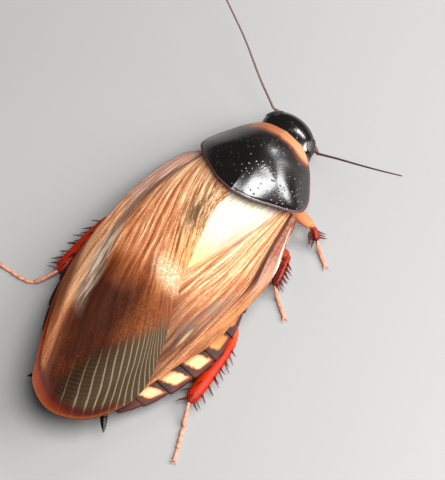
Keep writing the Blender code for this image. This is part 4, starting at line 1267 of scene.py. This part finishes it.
def vein_relief(u, v, forks, furrow):
    """Height share of the veins: main ones all along, and finer ones that fork off later."""
    fade = max(0.0, min(1.0, v / VEIN_ROOT_FADE, (1 - v) / VEIN_TIP_FADE,
                        u / VEIN_SIDE_FADE, (1 - u) / VEIN_SIDE_FADE))
    phase = u * VEINS - VEIN_PLACE
    main = math.exp(-((phase - round(phase)) / VEIN_WIDTH) ** 2)
    between = phase + 0.5
    second = math.exp(-((between - round(between)) / VEIN_WIDTH) ** 2)
    fork = forks[round(between) % len(forks)]
    groove = math.exp(-((u - along_axis(furrow, v)) / FURROW_WIDTH) ** 2)
    ridges = main + FINE_VEIN * second * eased(v, fork, fork + FORK_RUN)
    ridges *= 1 - VEINS_SINK * eased(v, VEINS_SINK_START, VEINS_SINK_END)
    return (ridges * (1 - groove) - groove * FURROW_DEPTH) * fade


def wing_case(name, borders, vault, furrow, sizes):
    """Thin sheet laid on its vault, with raised veins that sway a little."""
    draw = random.Random(WING_SEED)
    forks = [draw.uniform(*FORK_PLACES) for _ in range(VEINS + 2)]
    waves = [(draw.uniform(2, 5), draw.uniform(4, 9), draw.uniform(0, math.tau)) for _ in range(3)]

    def surface(u, v):
        sway = sum(math.sin(k * u * math.tau + m * v * math.tau / 2 + shift)
                   for k, m, shift in waves) / 3
        swayed = u + VEIN_SWAY * sway * min(1.0, 12 * u, 12 * (1 - u))
        point = wing_point(borders, max(0.0, min(1.0, swayed)), v)
        height = vault(point.x, point.y) + sizes.vein_height * vein_relief(u, v, forks, furrow)
        return Vector((point.x, point.y, height))

    piece = lay_grid(name, WING_COLUMNS, WING_ROWS, surface)
    finish_with(piece, "SOLIDIFY", thickness=sizes.wing_thickness, offset=-1.0,
                use_even_offset=False)
    close_up(60)
    return piece


def trunk_ring(y, half_width, roof, edge_top, edge_bottom, belly, left_swell=1.0,
               power=ROOF_POWER):
    """Cross-section of the trunk: a low arch over a flatter belly, with thin side edges."""
    points = []
    for i in range(TRUNK_SIDES):
        turn = math.tau * (i + 0.5) / TRUNK_SIDES
        x = half_width * math.cos(turn)
        across = abs(math.cos(turn))
        if math.sin(turn) > 0:
            z = edge_top + (roof - edge_top) * (1 - across**power)
            if y > TRUNK_COVERED:
                z = min(z, lower_vault(x, y) - UNDER_WING - TRUNK_CLEAR)
        else:
            z = edge_bottom - (edge_bottom - belly) * (1 - across**BELLY_POWER)
        points.append(Vector((x * left_swell if x > 0 else x, y, z)))
    return points


def thorax_shell():
    """Folded trunk between the neck and the abdomen, with a broader back in front."""
    rings = []
    front, rear = THORAX_HALF_WIDTH[0][0], THORAX_HALF_WIDTH[-1][0]
    for i in range(THORAX_RINGS + 1):
        y = front + (rear - front) * i / THORAX_RINGS
        half_width = along_axis(THORAX_HALF_WIDTH, y)
        roof = along_axis(THORAX_ROOF, y)
        if y > TRUNK_COVERED:
            roof = max(roof, lower_vault(0, y) - UNDER_WING - TRUNK_CLEAR)
        edge = max(lower_vault(half_width, y) - UNDER_WING - THORAX_EDGE_CLEAR, THORAX_EDGE_TOP)
        fold = THORAX_FOLD * math.cos(math.tau * (y - front) / FOLD_LENGTH)
        power = FRONT_ROOF_POWER - (FRONT_ROOF_POWER - ROOF_POWER) * eased(y, 5.0, 6.5)
        rings.append(trunk_ring(y, half_width + fold, roof, edge, THORAX_EDGE_BOTTOM,
                                THORAX_UNDERSIDE - fold, power=power))
    return loft("thorax_shell", rings)


def neck_skin():
    """Soft folded neck between the head and the trunk."""
    places, sizes = [], []
    for i in range(NECK_RINGS + 1):
        fold = math.cos(i * NECK_FOLD_TURN)
        places.append(along(NECK, i / NECK_RINGS))
        sizes.append((NECK_HALF_WIDTH + NECK_FOLD_WIDTH * fold,
                      NECK_HALF_HEIGHT + NECK_FOLD_HEIGHT * fold))
    return tube("neck_skin", places, sizes, 2 * LIMB_SIDES)


def abdomen_shell():
    """Rings that overlap like tiles, with a rounded front and the plate behind the last one."""
    rings = []
    front = ABDOMEN_FRONT
    belly = along_axis(ABDOMEN_UNDERSIDE, front) + 0.12
    for back, share in ABDOMEN_NOSE:
        y = front - back
        rings.append(trunk_ring(y, along_axis(ABDOMEN_HALF_WIDTH, front) * share,
                                lower_vault(0, y) - UNDER_WING - NOSE_CLEAR, ABDOMEN_EDGE_TOP - 0.05,
                                ABDOMEN_EDGE_BOTTOM + 0.04, belly, ABDOMEN_LEFT_SWELL))
    for rear in TERGITE_REARS:
        for share, lip in TERGITE_FORM:
            y = front + (rear - front) * share
            grow = TERGITE_STEP * (lip - 1)
            half_width = along_axis(ABDOMEN_HALF_WIDTH, y) + grow
            roof = lower_vault(0, y) - UNDER_WING - TERGITE_CLEAR + grow
            belly = along_axis(ABDOMEN_UNDERSIDE, y) - grow
            rings.append(trunk_ring(y, half_width, roof, ABDOMEN_EDGE_TOP + grow * 0.4,
                                    ABDOMEN_EDGE_BOTTOM - grow * 0.2, belly, ABDOMEN_LEFT_SWELL))
        front = rear
    for y, half_width in ANAL_PLATE:
        roof = lower_vault(0, y) - UNDER_WING - PLATE_CLEAR
        rings.append(trunk_ring(y, half_width, roof, ABDOMEN_EDGE_TOP, ABDOMEN_EDGE_BOTTOM,
                                along_axis(ABDOMEN_UNDERSIDE, y)))
    return loft("abdomen_shell", rings)


def cercus(name, side):
    """Short ringed feeler at the end of the abdomen."""
    path = sided_path(CERCUS, side)
    places, sizes = [], []
    for k in range(CERCUS_JOINTS):
        for inner, fullness in CERCUS_JOINT:
            share = (k + inner) / CERCUS_JOINTS
            taper = (1 - 0.15 * (1 - share)) * (1 - share**2.2) ** 0.8
            radius = max(fullness * CERCUS_RADIUS * taper, THINNEST)
            places.append(along(path, share))
            sizes.append((radius, radius * CERCUS_FLATNESS))
    return tube(name, places, sizes)


def spine_master(radius):
    """One spine of unit length at the origin, pointing up and a little bowed."""
    clear_selection()
    bpy.ops.mesh.primitive_cone_add(vertices=SPINE_FOOT_SIDES, radius1=radius,
                                    radius2=radius * SPINE_FOOT_NARROWING, depth=SPINE_FOOT,
                                    location=(0, 0, SPINE_FOOT / 2))
    piece = started("spine")
    bpy.ops.object.mode_set(mode="EDIT")
    for height, shrink, lean in SPINE_STEPS:
        bpy.ops.mesh.select_all(action="DESELECT")
        bm = bmesh.from_edit_mesh(piece.data)
        top = max(bm.faces, key=lambda face: face.calc_center_median().z)
        top.select_set(True)
        bm.faces.active = top
        bmesh.update_edit_mesh(piece.data)
        centre = top.calc_center_median() + Vector((lean, 0, height))
        bpy.ops.mesh.extrude_region_move(TRANSFORM_OT_translate={"value": (lean, 0, height)})
        bpy.ops.transform.resize(value=(shrink, shrink, 1), center_override=centre)
    bpy.ops.object.mode_set(mode="OBJECT")
    bpy.ops.object.shade_smooth_by_angle(angle=math.radians(60))
    return piece


def shin_spines(leg, start, end, half_width, half_height, master):
    """Spines in rows along a shin, leaning to the foot."""
    pair = leg.split("_")[0]
    draw = random.Random(f"{SPINE_SEED} {leg}")
    way = (end - start).normalized()
    outward = Vector((1 if leg.endswith("left") else -1, 0, 0))
    outward = (outward - way * outward.dot(way)).normalized()
    if pair == "fore":
        outward = way.cross(UP).normalized() * (1 if leg.endswith("right") else -1)
    spines = []
    for turn, count, first, last, lean in SPINE_ROWS[pair]:
        for i in range(count):
            share = first + (last - first) * i / (count - 1)
            share += draw.uniform(-SPINE_STRAY, SPINE_STRAY)
            around = math.radians(turn + draw.uniform(-SPINE_TURN_STRAY, SPINE_TURN_STRAY))
            size = along_axis(LEG_FORMS["tibia"], share)
            off = (outward * math.cos(around) * half_width
                   + UP * math.sin(around) * half_height) * size
            slant = math.radians(lean + draw.uniform(-SPINE_LEAN_STRAY, SPINE_LEAN_STRAY))
            aim = off.normalized() * math.cos(slant) + way * math.sin(slant)
            root = start.lerp(end, share) + off * SPINE_ROOT
            length = SPINE_LENGTH[pair] * draw.uniform(*SPINE_LENGTH_RANGE)
            length += off.length * (1 - SPINE_ROOT)
            aimed = aim.to_track_quat("Z", "Y").to_matrix().to_4x4()
            stretch = Matrix.Diagonal((1, 1, length, 1))
            spines.append(copied(master, Matrix.Translation(root) @ aimed @ stretch))
    return spines


def tarsus_points(leg, start, end):
    """Path of a foot: its ankle, where it lands and its end."""
    bend = TARSUS_BEND.get(leg, Vector((0.0, 0.0, 0.0)))
    return tuples([start, start.lerp(end, TARSUS_LANDING) + bend, end])


def foot(leg, start, end, radius):
    """Five foot joints that come down to the floor and lie on it."""
    points = tarsus_points(leg, start, end)
    places, sizes = [], []
    for first, last in zip(TARSUS_SHARES, TARSUS_SHARES[1:]):
        for inner, fullness in FOOT_JOINT:
            share = first + (last - first) * inner
            size = fullness * radius * (1 - TARSUS_TAPER * share)
            place = along(points, round(share, 6)).copy()
            descent = max(0.0, 1 - share / TARSUS_LANDING)
            place.z = size + (start.z - size) * descent
            places.append(place)
            sizes.append((size, size))
    return tube("foot", places, sizes, 12)


def claws(leg, start, end, length):
    """Two hooked claws and a small pad at the end of a foot."""
    points = tarsus_points(leg, start, end)
    tip = along(points, 1.0)
    way = tip - along(points, 0.9)
    way.z = 0
    way.normalize()
    across = way.cross(UP)
    root = Vector((tip.x, tip.y, CLAW_HEIGHT)) - way * length * CLAW_ROOT
    made = []
    for _, side in SIDES:
        path = [root + way * length * a + across * side * length * b + UP * (length * c)
                for a, b, c in CLAW_PATH]
        sizes = [(length * share, length * share) for share in CLAW_RADII]
        made.append(tube("claw", path, sizes, 8))
    pad_sizes = (length * PAD_SIZE, length * PAD_SIZE, PAD_HEIGHT)
    made.append(blob("pad", root + way * length * PAD_PLACE, pad_sizes, 12, 8))
    return made


def add_lamp(name, offset, size, power):
    """Soft oval lamp, aimed at the middle of the model."""
    clear_selection()
    bpy.ops.object.light_add(type="AREA", location=STAGE_MIDDLE + offset)
    lamp = bpy.context.object
    lamp.name = name
    lamp.data.shape = "ELLIPSE"
    lamp.data.size, lamp.data.size_y = size
    lamp.data.energy = power
    lamp.rotation_euler = (-offset).to_track_quat("-Z", "Y").to_euler()


# Operators


class COCKROACH_OT_head(Operator):
    """Model the head shell, the compound eyes and the mouth parts"""

    bl_idname = "cockroach.head"
    bl_label = "Head"

    def execute(self, context):
        colours = context.scene.cockroach_colours
        dress(head_shell(), head_finish(colours), "black_shell", "head")
        dress(mouth_parts(), mouth_finish(), "black_shell")
        for word, side in SIDES:
            eye = facet_eye("facet_eye_" + word, side)
            dress(eye, eye_finish(), "eye_shell", "eye_" + word)
        return {"FINISHED"}


class COCKROACH_OT_feelers(Operator):
    """Model the ringed antennae and the jointed palps"""

    bl_idname = "cockroach.feelers"
    bl_label = "Feelers"

    def execute(self, context):
        sizes = context.scene.cockroach_sizes
        finish = feeler_finish(context.scene.cockroach_colours)
        for (word, side), path in zip(SIDES, (FEELER_LEFT, FEELER_RIGHT)):
            whip = antenna("ringed_antenna_" + word, path, sizes.feeler_radius)
            dress(whip, finish, "feeler", "antenna_" + word, "antenna_base_" + word)
            palp_path = sided_path(MAXILLARY_PALP, side)
            palp = turned(jointed("jointed_palp_" + word, palp_path, *MAXILLARY_SIZES))
            dress(palp, finish, "feeler", "palp_" + word)
        return {"FINISHED"}


class COCKROACH_OT_shield(Operator):
    """Model the shield over the front of the trunk"""

    bl_idname = "cockroach.shield"
    bl_label = "Shield"

    def execute(self, context):
        finish = shield_finish(context.scene.cockroach_colours)
        dress(shield(), finish, "black_shell", "pronotum")
        return {"FINISHED"}


class COCKROACH_OT_trunk(Operator):
    """Model the neck, the trunk, the ringed abdomen and its two cerci"""

    bl_idname = "cockroach.trunk"
    bl_label = "Trunk"

    def execute(self, context):
        colours = context.scene.cockroach_colours
        finish = trunk_finish(colours)
        dress(neck_skin(), finish, "belly_shell", "neck")
        dress(thorax_shell(), finish, "belly_shell", "thorax")
        dress(abdomen_shell(), abdomen_finish(colours), "belly_shell", "abdomen")
        dark = cercus_finish(colours)
        for word, side in SIDES:
            dress(cercus("ringed_cercus_" + word, side), dark, "belly_shell", "cercus_" + word)
        return {"FINISHED"}


class COCKROACH_OT_wing_cases(Operator):
    """Model the two veined wing cases"""

    bl_idname = "cockroach.wing_cases"
    bl_label = "Wing cases"

    def execute(self, context):
        sizes = context.scene.cockroach_sizes
        colours = context.scene.cockroach_colours
        right = wing_case("wing_case_right", RIGHT_WING, lower_vault, FURROW_RIGHT, sizes)
        dress(right, right_wing_finish(colours), "wing_case", "tegmen_right")
        left = wing_case("wing_case_left", LEFT_WING, upper_vault, FURROW_LEFT, sizes)
        dress(left, left_wing_finish(colours), "wing_case", "tegmen_left")
        return {"FINISHED"}


class COCKROACH_OT_legs(Operator):
    """Model the six legs with their spines, feet and claws"""

    bl_idname = "cockroach.legs"
    bl_label = "Legs"

    def execute(self, context):
        sizes = context.scene.cockroach_sizes
        colours = context.scene.cockroach_colours
        looks = {
            "fore": leg_finish("fore leg", srgb(192, 118, 76), srgb(130, 38, 24), srgb(84, 20, 12)),
            "mid": leg_finish("mid leg", srgb(150, 52, 26), srgb(126, 34, 22), srgb(80, 18, 12)),
            "hind": leg_finish("hind leg", srgb(186, 66, 22), colours.leg, srgb(132, 20, 8)),
        }
        spine_look = spine_finish()
        foot_look = foot_finish(colours)
        master = spine_master(sizes.spine_radius)
        for leg, joints in LEG_JOINTS.items():
            pair = leg.split("_")[0]
            places = [Vector(p) for p in joints]
            parts = [limb(piece, places[i], places[i + 1], *LEG_SIZES[pair][piece], form)
                     for i, (piece, form) in enumerate(LEG_FORMS.items())]
            knob = KNEE_SIZE * LEG_SIZES[pair]["femur"][1]
            parts.append(blob("knee", places[1], (knob * 1.2, knob * 1.2, knob), 16, 10))
            parts.append(blob("knee", places[2], (knob, knob, knob * 0.9), 16, 10))
            nodes = [f"{piece}_{leg}" for piece in LEG_FORMS]
            for part in parts:
                mark_shin(part, places[2], places[3])
            dress(joined(f"leg_{leg}", parts), looks[pair], "red_leg", *nodes)
            spines = shin_spines(leg, places[2], places[3], *LEG_SIZES[pair]["tibia"], master)
            dress(joined(f"spines_{leg}", spines), spine_look, "red_leg")
            parts = [foot(leg, places[3], places[4], sizes.tarsus_radius)]
            parts += claws(leg, places[3], places[4], sizes.claw_length)
            dress(joined(f"foot_{leg}", parts), foot_look, "pale_foot", f"tarsus_{leg}")
        bpy.data.objects.remove(master, do_unlink=True)
        return {"FINISHED"}


class COCKROACH_OT_stage(Operator):
    """Set the pale floor, the soft lights and the camera"""

    bl_idname = "cockroach.stage"
    bl_label = "Stage"

    def execute(self, context):
        clear_selection()
        bpy.ops.mesh.primitive_plane_add(size=FLOOR_SIZE, location=(0, 0, 0))
        floor = started("floor")
        finish = Finish("floor white", Roughness=0.5)
        tone = finish.noise(finish.body, 0.02, 3)
        finish.set(Base_Color=finish.mix(srgb(138, 137, 136), srgb(148, 147, 146), tone))
        floor.data.materials.append(finish.material)

        world = bpy.data.worlds.new("studio")
        world.use_nodes = True
        background = world.node_tree.nodes["Background"]
        background.inputs["Color"].default_value = SKY_COLOUR
        background.inputs["Strength"].default_value = SKY_STRENGTH
        context.scene.world = world
        context.scene.view_settings.view_transform = "Standard"

        for lamp in LAMPS:
            add_lamp(*lamp)

        target = ORIGIN + CAMERA_TARGET * MM
        back = Vector((math.sin(CAMERA_AZIMUTH) * math.cos(CAMERA_ELEVATION),
                       -math.cos(CAMERA_AZIMUTH) * math.cos(CAMERA_ELEVATION),
                       math.sin(CAMERA_ELEVATION)))
        clear_selection()
        bpy.ops.object.camera_add(location=target + back * CAMERA_DISTANCE * MM)
        camera = context.object
        camera.name = "photo camera"
        camera.rotation_euler = (-back).to_track_quat("-Z", "Y").to_euler()
        camera.data.sensor_width = SENSOR
        camera.data.lens = FOCAL_PIXELS / PHOTO_HEIGHT * SENSOR
        camera.data.clip_start = MM
        camera.data.clip_end = 10.0
        context.scene.camera = camera
        return {"FINISHED"}


class COCKROACH_PT_panel(Panel):
    """Sidebar panel that lists the settings and the steps"""

    bl_label = "Surinam Cockroach"
    bl_idname = "COCKROACH_PT_panel"
    bl_space_type = "VIEW_3D"
    bl_region_type = "UI"
    bl_category = "Cockroach"

    def draw(self, context):
        layout = self.layout
        for heading, group in (("Sizes", context.scene.cockroach_sizes),
                               ("Colours", context.scene.cockroach_colours)):
            box = layout.box()
            box.label(text=heading)
            for name in group.__annotations__:
                box.prop(group, name)
        for operator in OPERATORS:
            layout.operator(operator.bl_idname)


OPERATORS = (COCKROACH_OT_stage, COCKROACH_OT_head, COCKROACH_OT_feelers, COCKROACH_OT_shield,
             COCKROACH_OT_trunk, COCKROACH_OT_wing_cases, COCKROACH_OT_legs)
CLASSES = (CockroachSizes, CockroachColours, *OPERATORS, COCKROACH_PT_panel)


def register():
    for item in CLASSES:
        bpy.utils.register_class(item)
    bpy.types.Scene.cockroach_sizes = PointerProperty(type=CockroachSizes)
    bpy.types.Scene.cockroach_colours = PointerProperty(type=CockroachColours)


def unregister():
    del bpy.types.Scene.cockroach_colours
    del bpy.types.Scene.cockroach_sizes
    for item in reversed(CLASSES):
        bpy.utils.unregister_class(item)


def main():
    register()
    for operator in OPERATORS:
        group, name = operator.bl_idname.split(".")
        getattr(getattr(bpy.ops, group), name)()
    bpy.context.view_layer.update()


if __name__ == "__main__":
    main()
